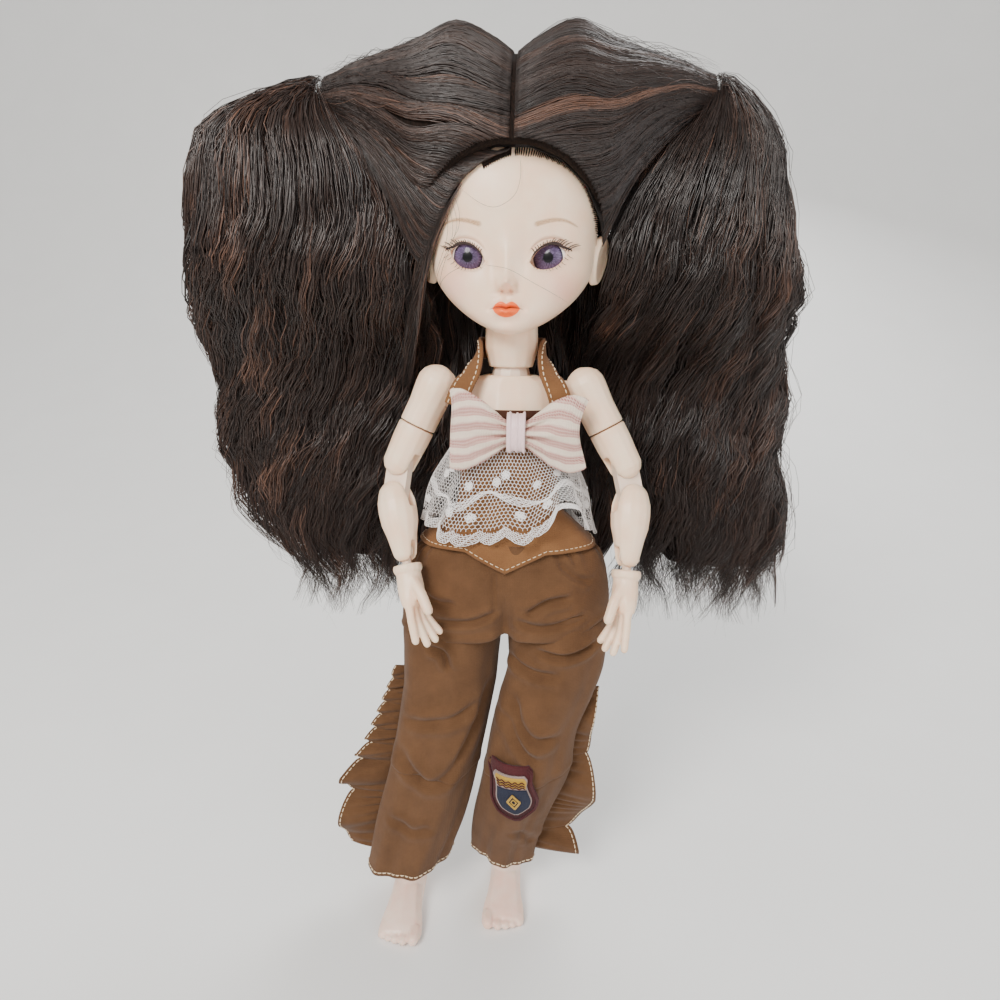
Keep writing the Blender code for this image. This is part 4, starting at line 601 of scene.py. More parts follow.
def make_head():
    """Dense head in one closed skin: features in front, and ears joined on."""
    columns, steps = 320, 22
    places = np.linspace(0, len(head_rows) - 1, (len(head_rows) - 1) * steps + 1)
    rows = spline(head_rows, places) * head_size
    even = 2 * pi * np.arange(columns) / columns
    angle = even - 0.55 * np.cos(even)
    across, along = oval_point(angle, 1.0, 1.0, head_power)
    z = np.repeat(rows[:, :1], columns, 1)
    half, front, back = np.maximum(rows[:, 1:2], 1e-3), rows[:, 2:3], rows[:, 3:4]
    middle = front + (back - front) * head_middle
    depth = np.where(along > 0, back - middle, middle - front)
    x = half * across
    facing = smoothstep(-np.sin(angle) * 1.6)
    y = head_y + middle + depth * along - face_relief(x, z) * facing
    head = grid_object("head", np.stack([x, y, z + chin], -1), face_skin, close_columns=True)
    u = x - face_shift
    aside = np.abs(u)
    lip = smoothstep((smooth_line(lip_top, u) - z) / 0.35 + 0.5)
    lip = lip * smoothstep((z - smooth_line(lip_low, u)) / 0.35 + 0.5) * (aside < lip_half)
    thin = 0.13 + 0.09 * smoothstep((lip_half - aside) / 1.5)
    line = 0.8 * bump(z, smooth_line(lip_seam, u), thin) * smoothstep((lip_half + 1.0 - aside) / 0.8)
    gap, where = distance_to_line(aside, z, brow_line)
    thick = 0.12 + 0.72 * np.clip(1 - where, 0, 1) ** 0.45 * smoothstep(where * 5 + 0.3)
    brow = smoothstep((thick - gap) / 0.5 + 0.3) * smoothstep(where * 5 + 0.15)
    # Painted shade: the spots above, and a band across the chin under the lower lip.
    shade = add_spots(shade_spots, u, z) + 0.12 * bump(z, 6.9, 2.6) * bump(z, 4.6, 1.0)
    for side in side_name:
        inside = eye_inside(x, z, side)
        # Painted shade round the edge of each eye opening, a painted shadow line in the lid crease, and dark
        # painted shade over the sunken face inside the opening.
        shade = shade + 0.75 * bump(inside, -0.1, 0.3) + 0.16 * bump(inside, -1.4, 1.6)
        crease, beside = lid_crease(x, z, side)
        shade = shade + 0.9 * bump(crease, 0, 0.17) * smoothstep((lid_half - beside) / 2.0)
        shade = shade + smoothstep(inside / 0.2)
    for layer, values in (("lip", lip), ("line", line), ("brow", brow), ("blush", add_spots(blush_spots, u, z)),
                          ("shade", np.clip(shade, 0, 1))):
        attribute(head, layer, values * facing)
    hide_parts("face_shell")
    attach(head, "head")
    for side, name in side_name.items():
        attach(make_ear(side, name), "head")


def make_ear(side, name):
    """Outer ear: an upright oval with a rolled rim and a hollow in front of it."""
    turns, rings = 64, 26
    around = 2 * pi * np.arange(turns) / turns
    out = np.linspace(0, 1, rings)[:, None]
    high = 7.6 * np.cos(around) * (1 + 0.12 * np.cos(around))
    deep = 4.0 * np.sin(around) * (1 + 0.25 * np.cos(around))
    spread = np.sin(out * pi)
    rim = 1.3 * bump(out, 0.36, 0.10)
    bowl = -1.2 * bump(out, 0.0, 0.2)
    lift = 1.6 * np.cos(out * pi) + (rim + bowl) * (out < 0.6)
    x = side * (27.2 + lift + (0.16 * high + 0.5 * deep) * spread)
    y = head_y - 1.0 + deep * spread
    z = chin + 23.0 + high * spread
    return grid_object("ear_" + name, np.stack([x, y, z], -1), skin, close_columns=True, flip=side > 0)


ball_radius = 7.0


def make_eyes():
    for side, name in side_name.items():
        ball = np.array([side * 12.4, head_y - 10.32, chin + 23.6])
        iris = np.array([eye_centres[side][0], 0, chin + eye_centres[side][2] + 0.1])
        a = 2 * pi * np.arange(64)[None] / 64
        p = np.linspace(0, pi, 49)[:, None]
        sphere = np.stack([np.sin(p) * np.cos(a), -np.cos(p) + 0 * a, np.sin(p) * np.sin(a)], -1)
        eye = grid_object("eyeball_" + name, ball + ball_radius * sphere, eye_paint(iris), close_columns=True)
        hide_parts("eye_" + name)
        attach(eye, "head")


def on_face(x, z, proud=0.0):
    """Points on the finished face in doll millimetres."""
    y = face_y(x, z) - face_relief(x, z) - proud
    return np.stack([x, y, z + chin], -1)


def lid_point(side, s, rise, proud):
    """A point on the closed lid at s along the eye and a rise over its upper or lower edge."""
    centre = eye_centres[side]
    x = centre[0] + side * s * eye_half
    z = centre[2] + rise
    y = face_y(x, z) - face_relief(x, z, False) - proud
    return np.stack([x, y, z + chin], -1)


def make_lashes():
    paint = Paint("lash", (0.02, 0.008, 0.006), 0.6)
    paint.set("Base Color", paint.mix(paint.noise(2.0), (0.012, 0.005, 0.004), (0.045, 0.02, 0.014)))
    lines = []
    for side in (-1, 1):
        for layer in range(3):
            s = np.linspace(-0.92 + 0.25 * layer, 1.0, 50)
            rise = eye_edge(s, True) + 0.05 + 0.22 * layer * smoothstep((s + 0.6) / 1.2)
            far = smoothstep((s - 0.80) / 0.2)
            lines.append(lid_point(side, s + far * 0.34, rise + far * (0.5 - 0.1 * layer), 0.08))
    upper = tubes("upper_lash_lines", lines, 0.27, paint.material, sides=6, taper=0.25)
    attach(upper, "head")
    fine, thin = [], []
    t = np.linspace(0, 1, 8)
    for side in (-1, 1):
        for edge, count, length, way in ((True, 17, 3.9, 1), (False, 12, 2.1, -1)):
            for s in np.linspace(-0.75, 1.08, count):
                reach = length * (0.62 + 0.42 * max(s, -0.3) + 0.12 * rng.standard_normal())
                lean = 0.15 + 0.75 * s + 0.08 * rng.standard_normal()
                foot = eye_edge(np.full(8, min(s, 0.98)), edge)
                rise = foot + way * reach * (t * 0.75 - 0.22 * t ** 2)
                along = s + reach * lean * (0.5 * t + 0.5 * t ** 2) / eye_half
                fine.append(lid_point(side, along, rise, 0.06 + 1.3 * t - 0.6 * t ** 2))
                thin.append(0.17 if edge else 0.085)
    lashes = tubes("lashes", fine, thin, paint.material, taper=0.2)
    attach(lashes, "head")


# Hair

tie_height = chin + 72.0
tie_reach = 61.0
crown_y = head_y + 3.12
crown_high, crown_deep = 31.0, 27.0
bunch_rows = {
    # for each side: share of the height, inner and outer reach, drop back, half depth
    -1: [(0.03, 0.50, 0.78, 0.0, 0.45), (0.11, 0.43, 0.88, 0.05, 0.78), (0.17, 0.35, 0.91, 0.08, 0.9),
         (0.26, 0.29, 0.93, 0.08, 1.0), (0.38, 0.285, 0.95, 0.16, 1.0), (0.54, 0.24, 0.99, 1.0, 0.88),
         (0.72, 0.25, 0.98, 1.0, 0.8), (0.88, 0.31, 0.89, 0.92, 0.62), (1.0, 0.42, 0.70, 0.85, 0.36)],
    1: [(0.03, 0.50, 0.63, 0.0, 0.34), (0.11, 0.43, 0.69, 0.05, 0.6), (0.18, 0.35, 0.72, 0.08, 0.86),
        (0.27, 0.29, 0.745, 0.08, 0.96), (0.39, 0.285, 0.79, 0.16, 1.0), (0.55, 0.25, 0.84, 1.0, 0.88),
        (0.73, 0.28, 0.88, 1.0, 0.8), (0.88, 0.38, 0.92, 0.92, 0.58), (1.0, 0.55, 0.88, 0.85, 0.3)],
}
bunch_top = tie_height + crown_high * 0.33
bunch_length, bunch_reach = 176.0, 116.0
hair_top = 322.5


def round_off(item, voxel, rounds):
    """Remeshes a solid finely and smooths its facets away."""
    remesh = item.modifiers.new("Remesh", "REMESH")
    remesh.mode = "VOXEL"
    remesh.voxel_size = voxel * MM
    remesh.use_smooth_shade = True
    smooth = item.modifiers.new("Smooth", "SMOOTH")
    smooth.factor = 0.5
    smooth.iterations = rounds


def mass_copy(name, node, shrink=0.0, voxel=1.2, rounds=14):
    """A smoothed dark copy of a soft hair solid, which the strands then cover."""
    source = bpy.data.objects[node]
    graph = bpy.context.evaluated_depsgraph_get()
    mesh = bpy.data.meshes.new_from_object(source.evaluated_get(graph))
    mesh.transform(source.matrix_world)
    item = bpy.data.objects.new(name, mesh)
    bpy.context.collection.objects.link(item)
    draw_in(item, shrink)
    give(item, hair_mass)
    round_off(item, voxel, rounds)
    with bpy.context.temp_override(object=item, active_object=item):
        for modifier in ("Remesh", "Smooth"):
            bpy.ops.object.modifier_apply(modifier=modifier)
    item.data.shade_smooth()
    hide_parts(node)
    return item


def draw_in(item, share):
    """Makes a mass smaller about the middle of its box, so that strands cover it."""
    if share:
        points = np.empty(len(item.data.vertices) * 3, np.float32)
        item.data.vertices.foreach_get("co", points)
        points = points.reshape(-1, 3)
        middle = (points.min(0) + points.max(0)) / 2
        item.data.vertices.foreach_set("co", (middle + (points - middle) * (1 - share)).ravel())


def bezier(p0, p1, p2, p3, count):
    t = np.linspace(0, 1, count)[None, :, None]
    p0, p1, p2, p3 = (np.asarray(p, float)[:, None, :] for p in (p0, p1, p2, p3))
    return (1 - t) ** 3 * p0 + 3 * t * (1 - t) ** 2 * p1 + 3 * t * t * (1 - t) * p2 + t ** 3 * p3


def bunch_strands(side, clumps=60, per_clump=28, points=34):
    """Wavy locks that leave the tie, go over the shoulder of the bunch and hang down."""
    count = clumps * per_clump
    owner = np.repeat(np.arange(clumps), per_clump)
    across = rng.random(clumps) ** 0.9
    pick = rng.random(clumps)
    # Half of the locks hang in front, a quarter behind and the rest between.
    rear = np.where(pick < 0.78, rng.uniform(0.74, 1, clumps), rng.uniform(-0.9, 0.9, clumps))
    depth = np.where(pick < 0.5, rng.uniform(-1, -0.72, clumps), rear)
    end = np.clip(rng.normal(0.94, 0.10, clumps), 0.55, 1.06)
    phase, phase2 = rng.uniform(0, 2 * pi, (2, clumps))
    wave = rng.uniform(3.0, 4.6, clumps)
    swing = rng.uniform(2.2, 5.0, clumps)
    clump_tone = rng.beta(1.3, 2.2, clumps)
    u = np.clip(across[owner] + rng.normal(0, 0.024, count), 0, 1)
    v = np.clip(depth[owner] + rng.normal(0, 0.07, count), -1, 1)
    lag = rng.normal(0, 0.2, count)
    stop = np.clip(end[owner] + rng.normal(0, 0.05, count), 0.45, 1.075)
    share = np.linspace(0, 1, points)
    height = 0.035 + (stop[:, None] - 0.035) * share[None]
    inner, outer, back, deep = read_columns(bunch_rows[side], np.minimum(height, 1.0))
    tip = smoothstep((height - 0.8) / 0.2)
    inner = inner + (np.minimum(inner, 0.34) - inner) * tip * 0.7
    reach = inner + (outer - inner) * u[:, None]
    x = side * bunch_reach * reach
    rounding = np.sqrt(np.clip(1 - (2 * u[:, None] - 1) ** 2, 0.12, 1))
    y = crown_y + back * 26.0 + v[:, None] * rounding * (deep * 20.0 + 1.2)
    z = bunch_top - height * bunch_length
    grow = smoothstep(height * 2.6 - 0.15)
    phase, phase2 = phase[owner], phase2[owner]
    wave, swing = wave[owner][:, None], swing[owner][:, None]
    turn = 2 * pi * wave * height + phase[:, None] + lag[:, None]
    small = 2 * pi * (wave * 3.3) * height + phase2[:, None] + 2 * lag[:, None]
    x = x + swing * grow * np.sin(turn) + 0.8 * grow * np.sin(small)
    y = y + 0.8 * swing * grow * np.cos(turn) + 0.7 * grow * np.cos(small)
    curl = smoothstep((share[None] - 0.78) / 0.22)
    x = x + 7.0 * curl * np.sin(phase * 3 + lag)[:, None]
    z = z + 5.0 * curl * np.sin(phase2 * 2 + 0.5 * lag)[:, None]
    hang = np.stack([x, y, z], -1)
    spread = rng.normal(0, 1, (count, 2)) * 2.1
    start = np.stack([np.full(count, side * (tie_reach + 1.2)), crown_y + spread[:, 0],
                      tie_height + spread[:, 1]], -1)
    leave = smoothstep(share / 0.16)[None, :, None]
    path = start[:, None] * (1 - leave) + hang * leave
    arch = np.sin(pi * np.clip(share / 0.3, 0, 1))[None] * (3.0 + 4.0 * u[:, None])
    path[..., 2] += arch * (1 - np.clip(share / 0.9, 0, 1))[None]
    path += rng.normal(0, 0.16, path.shape) * leave
    path = keep_in(side, path)
    tone = np.clip(clump_tone[owner] + rng.normal(0, 0.16, count), 0, 1)
    return path, tone


def keep_in(side, path, spare=0.0):
    """Hair kept out of the face and within the reach of the bunch."""
    path[..., 0] = side * np.clip(side * path[..., 0], 20, (117.0 if side < 0 else 106.0) + spare)
    path[..., 1] = np.clip(path[..., 1], -31 - spare, 50 + spare)
    return path


def flyaways(path, tone, amount, lift, curl=0.0):
    """Loose single hairs taken from a set of strands and moved outward, some of them in small curls."""
    chosen = rng.choice(len(path), amount, replace=False)
    loose = path[chosen].copy()
    length = loose.shape[1]
    t = np.linspace(0, 1, length)[None, :, None]
    drift = rng.normal(0, lift, (amount, 1, 3)) * t ** 0.8
    wiggle = rng.normal(0, lift * 0.3, (amount, 1, 3)) * np.sin(t * pi * 3)
    loose = loose + drift + wiggle
    turn = 2 * pi * t[..., 0] * rng.uniform(3, 7, (amount, 1)) + rng.uniform(0, 6, (amount, 1))
    loops = curl * rng.uniform(0.3, 1.0, (amount, 1)) * smoothstep(t[..., 0] * 2 - 0.4)
    loose[..., 0] += loops * np.sin(turn)
    loose[..., 2] += loops * np.cos(turn)
    return loose, np.clip(tone[chosen] + 0.1, 0, 1)


def make_bunches():
    for side, name in side_name.items():
        mass = mass_copy("hair_bunch_mass_" + name, "hair_bunch_" + name, 0.06, rounds=24)
        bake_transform(mass)
        for part in range(3):
            path, tone = bunch_strands(side)
            radius = rng.uniform(0.13, 0.21, len(path))
            strands = tubes("hair_strands_%s_%d" % (name, part), path, radius, hair, tones=tone)
            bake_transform(strands)
        loose, loose_tone = flyaways(path, tone, 420, 3.4, 2.4)
        loose = keep_in(side, loose, 2.5)
        fly = tubes("hair_flyaways_" + name, loose, 0.075, hair, tones=loose_tone)
        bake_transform(fly)
        make_tie(side, name)


def make_tie(side, name):
    rings = []
    for turn in range(3):
        a = np.linspace(0, 2 * pi, 40)
        x = side * (tie_reach + 0.2 + turn * 0.7) + 0 * a
        ring = 5.6 + 0.25 * np.sin(a * 2 + turn)
        rings.append(np.stack([x, crown_y + ring * np.cos(a), tie_height + ring * np.sin(a)], -1))
    tie = tubes("tie_" + name, rings, 0.42, elastic, sides=8, taper=1.0)
    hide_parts("hair_tie_" + name)
    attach(tie, "head")


crown_rows = [
    # reach to a tie, height over the ties, half height and half depth, all as shares
    (0.0, -0.55, 0.92, 1.0), (0.28, -0.40, 1.02, 0.99), (0.48, -0.35, 0.83, 0.90),
    (0.64, -0.18, 0.57, 0.70), (0.84, -0.03, 0.33, 0.42), (1.0, 0.0, 0.20, 0.22)]
hairlines = {
    # x, depth and height over the chin along the roots at the face, from the parting down
    -1: [(-0.5, -15.8, 53.6), (-4.6, -16.1, 52.0), (-9.5, -16.4, 49.3), (-14.0, -16.3, 45.5),
         (-18.1, -14.8, 40.6), (-21.9, -12.2, 34.2), (-26.1, -6.0, 26.4), (-28.8, -1.0, 19.0)],
    1: [(0.5, -15.8, 53.6), (8.1, -15.6, 53.1), (14.0, -14.4, 51.5), (19.6, -12.0, 48.5), (23.5, -9.4, 44.4),
        (26.2, -6.0, 39.4), (28.2, -2.0, 33.1), (29.0, 0.5, 25.4)],
}


def crown_point(side, reach, turn, lift):
    """A point over the crown: reach to one tie, turn from the front over the top, lift off its face."""
    height, high, deep = read_columns(crown_rows, reach)
    z = tie_height + height * crown_high + np.sin(turn) * (high * crown_high + lift)
    y = crown_y - np.cos(turn) * (deep * crown_deep + lift)
    return np.stack([side * tie_reach * reach, y, z], -1)


def crown_strands(side, count, points=26):
    """Hair combed from the parting over the crown to one tie, in rounded locks."""
    locks = 46
    centre = np.linspace(radians(-62), radians(245), locks) + rng.normal(0, radians(0.9), locks)
    owner = rng.integers(0, locks, count)
    half = radians(6.2)
    off = np.clip(rng.normal(0, 0.5, count), -1, 1)
    turn0 = centre[owner] + off * half
    share = np.linspace(0, 1, points)[None]
    sway = rng.uniform(-0.10, 0.10, locks)[owner][:, None]
    phase = rng.uniform(0, 6, locks)[owner][:, None]
    lift0 = rng.uniform(-0.1, 0.9, locks)[owner]
    rounding = lift0 + 0.9 * (1 - off ** 2) + rng.uniform(-0.3, 0.25, count)
    begin = np.full(count, 0.012)
    for _ in range(40):
        place = crown_point(side, begin, turn0, rounding)
        inside = (np.hypot(place[:, 0], place[:, 2] - chin - 24.5) < 30.0) & (place[:, 1] < head_y + 6)
        begin = np.where(inside, begin + 0.012, begin)
    reach = begin[:, None] + (1.0 - begin[:, None]) * share
    turn = turn0[:, None] + sway * np.sin(pi * share * 1.6 + phase) * np.sin(pi * share)
    lift = rounding[:, None] * smoothstep(share * 7 + 0.45) * (1 - 0.6 * share)
    path = crown_point(side, reach, turn, lift)
    path += rng.normal(0, 0.07, path.shape)
    path[..., 2] = np.minimum(path[..., 2], hair_top)
    tone = np.clip(rng.beta(1.6, 2.8, locks)[owner] + rng.normal(0, 0.15, count), 0, 1)
    return path, tone


def hairline_strands(side, count, points=22):
    """Hair that leaves the roots round the face and is drawn back to the tie."""
    line = spline(hairlines[side], rng.uniform(0, 6.6, count))
    start = np.stack([line[:, 0], line[:, 1] - rng.uniform(0.0, 1.2, count), chin + line[:, 2]], -1)
    low = (53.6 - line[:, 2]) / 34.6
    out = 1.5 + 7 * low if side < 0 else 5.0 - 2.0 * low
    slope = -5.0 * (1 - low) - 1.0 if side < 0 else 5.0 + 1.0 * low
    first = start + np.stack([side * out, np.full(count, -1.6), np.full(count, 1.0) * slope], -1)
    second = np.stack([side * (33.0 + 3.0 * rng.random(count)),
                       crown_y - 21.5 + 5.0 * low + rng.normal(0, 0.8, count),
                       chin + 61.0 - 10.0 * low + rng.normal(0, 1.3, count)], -1)
    end = np.stack([np.full(count, side * tie_reach), crown_y - 3.5 + rng.normal(0, 0.9, count),
                    tie_height - 1.0 + rng.normal(0, 1.5, count)], -1)
    path = bezier(start, first, second, end, points)
    path += rng.normal(0, 0.07, path.shape)
    tone = np.clip(0.3 + 0.25 * np.sin(line[:, 2] * 2.2) + rng.normal(0, 0.15, count), 0, 1)
    return path, tone


stray_lines = [
    # single hairs that have come loose over the face: x and height over the chin
    [(2.4, 50.0), (2.6, 44.5), (0.8, 39.5), (-4.3, 36.6), (-9.5, 38.0), (-15.5, 42.5)],
    [(-7.4, 20.6), (0.0, 19.0), (8.0, 15.0), (18.0, 10.2)],
    [(-27.5, 8.0), (-22.0, 16.0), (-15.0, 19.8), (-7.4, 19.6)],
    [(24.5, 44.0), (25.2, 36.0), (26.4, 30.0), (27.2, 24.0)],
    [(-18.5, 40.0), (-16.4, 33.0), (-17.6, 28.0), (-20.5, 22.0), (-25.0, 10.0)],
    [(-19.5, 39.0), (-17.8, 32.0), (-18.6, 27.0), (-22.5, 20.0), (-27.0, 12.0)],
    [(-20.0, 38.0), (-19.4, 31.0), (-21.0, 25.0), (-25.0, 17.0)],
    [(-17.5, 41.0), (-15.6, 35.5), (-16.0, 31.0), (-19.0, 27.0)],
]


def temple_strands(count, points=24):
    """The lock that falls from one temple past the ear and behind the jaw."""
    fall = np.array([(-13.5, -17.0, 46.0), (-19.5, -15.0, 37.0), (-24.2, -10.5, 28.0), (-27.6, -6.0, 18.0),
                     (-31.0, 0.0, 8.0), (-34.0, 6.0, -4.0), (-37.0, 12.0, -18.0)])
    share = rng.random(count)
    path = np.array([spline(fall, np.linspace(0.2 + 1.4 * rng.random(), 6 - 2.2 * rng.random() ** 2, points))
                     for _ in range(count)])
    path[..., 0] -= 6.5 * share[:, None] * np.linspace(0.5, 1.0, points)
    path[..., 1] += 5.0 * share[:, None] + rng.normal(0, 0.5, count)[:, None]
    path[..., 2] += chin + rng.normal(0, 0.8, count)[:, None]
    t = np.linspace(0, 1, points)[None]
    path[..., 0] += 0.9 * np.sin(9 * t + 7 * share[:, None]) * t
    path += rng.normal(0, 0.06, path.shape)
    return path, np.clip(0.35 + 0.3 * np.sin(share * 21) + rng.normal(0, 0.15, count), 0, 1)


def make_strays():
    """A few single hairs over the face."""
    paths = []
    for line in stray_lines:
        flat = spline(line, np.linspace(0, len(line) - 1, 40))
        proud = 0.5 + 1.2 * np.sin(np.linspace(0, pi, 40))
        paths.append(on_face(flat[:, 0], flat[:, 1], proud))
    hairs = tubes("hair_strays", paths, 0.06, hair, tones=0.5)
    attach(hairs, "head")


def make_wig_edge():
    """Short dark teeth where the edge of the wig's cap is drawn over the forehead."""
    line = np.concatenate([spline(hairlines[-1], np.linspace(1.9, 0.0, 34)),
                           spline(hairlines[1], np.linspace(0.1, 6.2, 70))])[:, [0, 2]]
    inward = np.array([0.0, 24.0]) - line
    inward /= np.linalg.norm(inward, axis=1, keepdims=True)
    t = np.linspace(0, 1, 5)
    teeth = []
    for foot, way in zip(line, inward):
        spot = foot - 0.6 * way + np.outer(t, way) * (2.9 + 0.3 * sin(foot[0] * 9))
        teeth.append(on_face(spot[:, 0], spot[:, 1], 0.3 - 0.15 * t))
    edge = tubes("wig_edge_teeth", teeth, 0.2, hair_mass, sides=5, taper=0.4)
    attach(edge, "head")


def make_crown():
    mass = mass_copy("hair_crown_mass", "hair_crown", voxel=0.9)
    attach(mass, "head")
    for side, name in side_name.items():
        path, tone = crown_strands(side, 4600)
        strands = tubes("hair_crown_strands_" + name, path, rng.uniform(0.13, 0.22, len(path)), hair, tones=tone)
        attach(strands, "head")
        front, front_tone = hairline_strands(side, 2200 if side < 0 else 1300)
        fringe = tubes("hair_line_" + name, front, rng.uniform(0.11, 0.19, len(front)), hair, tones=front_tone)
        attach(fringe, "head")
        loose, loose_tone = flyaways(path, tone, 200, 1.3, 1.2)
        loose[..., 2] = np.minimum(loose[..., 2], hair_top + 2.5)
        fly = tubes("hair_crown_flyaways_" + name, loose, 0.06, hair, tones=loose_tone)
        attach(fly, "head")
    temple, temple_tone = temple_strands(620)
    lock = tubes("hair_temple", temple, rng.uniform(0.1, 0.19, len(temple)), hair, tones=temple_tone)
    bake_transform(lock)
    make_wig_edge()
    make_strays()


def cut_mass(item, height, low):
    """A mesh of the part of a mass that lies under or over a height, closed at the cut."""
    mesh = item.data.copy()
    work = bmesh.new()
    work.from_mesh(mesh)
    cut = bmesh.ops.bisect_plane(work, geom=work.verts[:] + work.edges[:] + work.faces[:],
                                 plane_co=Vector(world((0, 0, height))), plane_no=(0, 0, 1),
                                 clear_outer=low, clear_inner=not low)
    bmesh.ops.holes_fill(work, edges=[e for e in cut["geom_cut"] if isinstance(e, bmesh.types.BMEdge)])
    work.to_mesh(mesh)
    work.free()
    return mesh


def back_strands(count, begin, finish, points=20):
    """Waving hair behind the neck between two shares of its fall."""
    u = rng.uniform(-1, 1, count)
    v = rng.uniform(-1, 1, count)
    stop = np.full(count, finish)
    if finish >= 1:
        stop = stop * np.clip(rng.normal(0.93, 0.07, count), 0.5, 1.0)
    share = begin + (stop[:, None] - begin) * np.linspace(0, 1, points)[None]
    falls = [0, 0.1, 0.28, 0.42, 0.6, 0.85, 1]
    width = np.interp(share, falls, [0.66, 0.86, 0.92, 0.92, 0.96, 0.98, 0.84])
    back = np.interp(share, falls, [0, 0, -0.02, -0.1, -0.16, -0.14, -0.12])
    phase = (9 * u + 1.7 * np.sin(17 * u))[:, None]
    ease = smoothstep(share * 3)
    sway = 1.4 * np.sin(share * 17 + phase) + 0.5 * np.sin(share * 43 + 3 * phase)
    x = 41.0 * width * u[:, None] + ease * sway
    y = head_y + 32.2 + back * 48 + v[:, None] * 3.0 + 0.9 * np.cos(share * 19 + 1.7 * phase)
    z = chin + 46.0 - share * 148.0
    path = np.stack([x, y, z], -1) + rng.normal(0, 0.15, (count, points, 3))
    tone = np.clip(0.35 + 0.25 * np.sin(13 * u) * np.sin(31 * u) + rng.normal(0, 0.18, count), 0, 1)
    return path, tone


def make_back_hair():
    """The upper length is baked in place, and the lower one lies against the back and stays with it."""
    mass = mass_copy("hair_back_mass", "hair_back")
    low_mass = bpy.data.objects.new("hair_back_mass_low", cut_mass(mass, chin - 14.0, True))
    bpy.context.collection.objects.link(low_mass)
    mass.data = cut_mass(mass, chin - 30.0, False)
    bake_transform(mass)
    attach(low_mass, "chest")
    for name, count, begin, finish in (("hair_back_strands", 3000, 0.0, 0.55),
                                       ("hair_back_low", 3400, 0.40, 1.0)):
        path, tone = back_strands(count, begin, finish)
        strands = tubes(name, path, rng.uniform(0.16, 0.28, count), hair, tones=tone)
        if begin:
            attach(strands, "chest")
        else:
            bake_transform(strands)


# Clothes

chest_x, chest_y = 17.2, 11.5
vest_top = shoulder_height - 7.5


def stitch_row(name, line, normal, length=1.25, gap=0.75, radius=0.2, body=None):
    """Separate stitches along a line of points, each a short thread sunk at both ends."""
    line = np.asarray(line, float)
    steps = np.r_[0, np.cumsum(np.linalg.norm(np.diff(line, axis=0), axis=1))]
    pitch = length + gap
    count = int(steps[-1] // pitch)
    t = np.linspace(0, 1, 6)
    at = (np.arange(count) * pitch + 0.3)[:, None] + t[None] * length
    path, lift = (np.stack([np.interp(at, steps, rows[:, i]) for i in range(3)], -1) for rows in (line, normal))
    lift /= np.linalg.norm(lift, axis=-1, keepdims=True) + 1e-9
    path = path + lift * (radius * 1.1 * np.sin(pi * t))[None, :, None]
    item = tubes(name, path, radius, cream_thread, sides=6, taper=0.6)
    if body:
        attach(item, body)
    return item


def vest_surface(angle, height):
    """Outside of the vest at an angle round it and a share of its height."""
    rows = [(0.0, 1.0, 1.03), (0.22, 0.99, 1.10), (0.48, 0.91, 1.02), (0.74, 1.0, 1.06),
            (0.885, 1.40, 1.28), (0.957, 1.62, 1.48), (1.0, 1.76, 1.52)]
    width, depth = read_columns(rows, height)
    x, y = oval_point(angle, chest_x * width + 1.5, chest_y * depth + 1.5)
    y = y + head_y * (1 - height)
    front = smoothstep((height - 0.75) / 0.25) * (np.sin(angle) < 0)
    z = vest_top - 47.0 * height - 7.0 * np.clip(1 - np.abs(x) / (chest_x * 0.8), 0, 1) * front
    ripple = 0.25 * np.sin(angle * 9 + height * 5) * smoothstep((height - 0.2) * 3)
    return np.stack([x + ripple * np.cos(angle), y + ripple * np.sin(angle), z], -1)


def make_vest():
    angle = whole_turn(160)
    height = np.linspace(0, 1, 60)[:, None]
    grid = vest_surface(angle + 0 * height, height + 0 * angle)
    vest = thicken(grid_object("vest_cloth", grid, vest_cloth, close_columns=True, flip=True), 0.9)
    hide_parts("vest")
    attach(vest, "chest")
    for share, radius in ((0.975, 0.13), (0.03, 0.12)):
        line = vest_surface(np.linspace(0, 2 * pi, 400), np.full(400, share))
        stitch_row("vest_stitches_%d" % (share * 100), line, line * (1, 1, 0), radius=radius, body="chest")
    turn = np.linspace(0, 2 * pi, 200)
    grid = [vest_surface(turn, np.full(200, share)) + outward(turn) * 0.35
            for share in (-0.012, 0.0, 0.03, 0.05)]
    band = thicken(grid_object("neckband", grid, dark_cloth, flip=True), 0.6)
    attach(band, "chest")


strap_half = 3.6
strap_rows = [
    # place from the neck's middle, as shares of its radius and of the strap's rise; direction outward
    (1.52, -1.18, 0.03, 0.0, -1.0, 0.0), (1.34, -1.07, 0.38, 0.1, -0.9, 0.4),
    (1.08, -0.75, 0.76, 0.5, -0.55, 0.67), (0.96, -0.28, 0.94, 0.92, -0.25, 0.3),
    (0.93, 0.34, 1.0, 0.96, 0.28, 0.0), (0.62, 0.80, 1.0, 0.6, 0.8, 0.0), (0.05, 1.02, 1.0, 0.0, 1.0, 0.0)]


def make_straps():
    for side, name in side_name.items():
        rows = spline(strap_rows, np.linspace(0, len(strap_rows) - 1, 60))
        place = np.stack([side * rows[:, 0] * 11.6, head_y + rows[:, 1] * 11.6,
                          vest_top + rows[:, 2] * 16.5], -1)
        normal = np.stack([side * rows[:, 3], rows[:, 4], rows[:, 5]], -1)
        normal /= np.linalg.norm(normal, axis=1, keepdims=True)
        ahead = np.gradient(place, axis=0)
        across = np.cross(normal, ahead)
        across /= np.linalg.norm(across, axis=1, keepdims=True)
        place = place + np.abs(across[:, 2:3]) * 3.5 * np.array([0, 0, 1.0])
        grid = np.stack([place + across * strap_half * c + normal * 0.25 * (1 - c ** 4)
                         for c in np.linspace(-1, 1, 13)], 1)
        strap = thicken(grid_object("strap_cloth_" + name, grid, vest_cloth, flip=side < 0), 0.9, 0.0)
        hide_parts("strap_" + name)
        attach(strap, "chest")
        for c in (-0.72, 0.72):
            line = place + across * strap_half * c + normal * 0.62
            stitch_row("strap_stitches_%s_%d" % (name, c > 0), line, normal, radius=0.19, body="chest")


# Lace

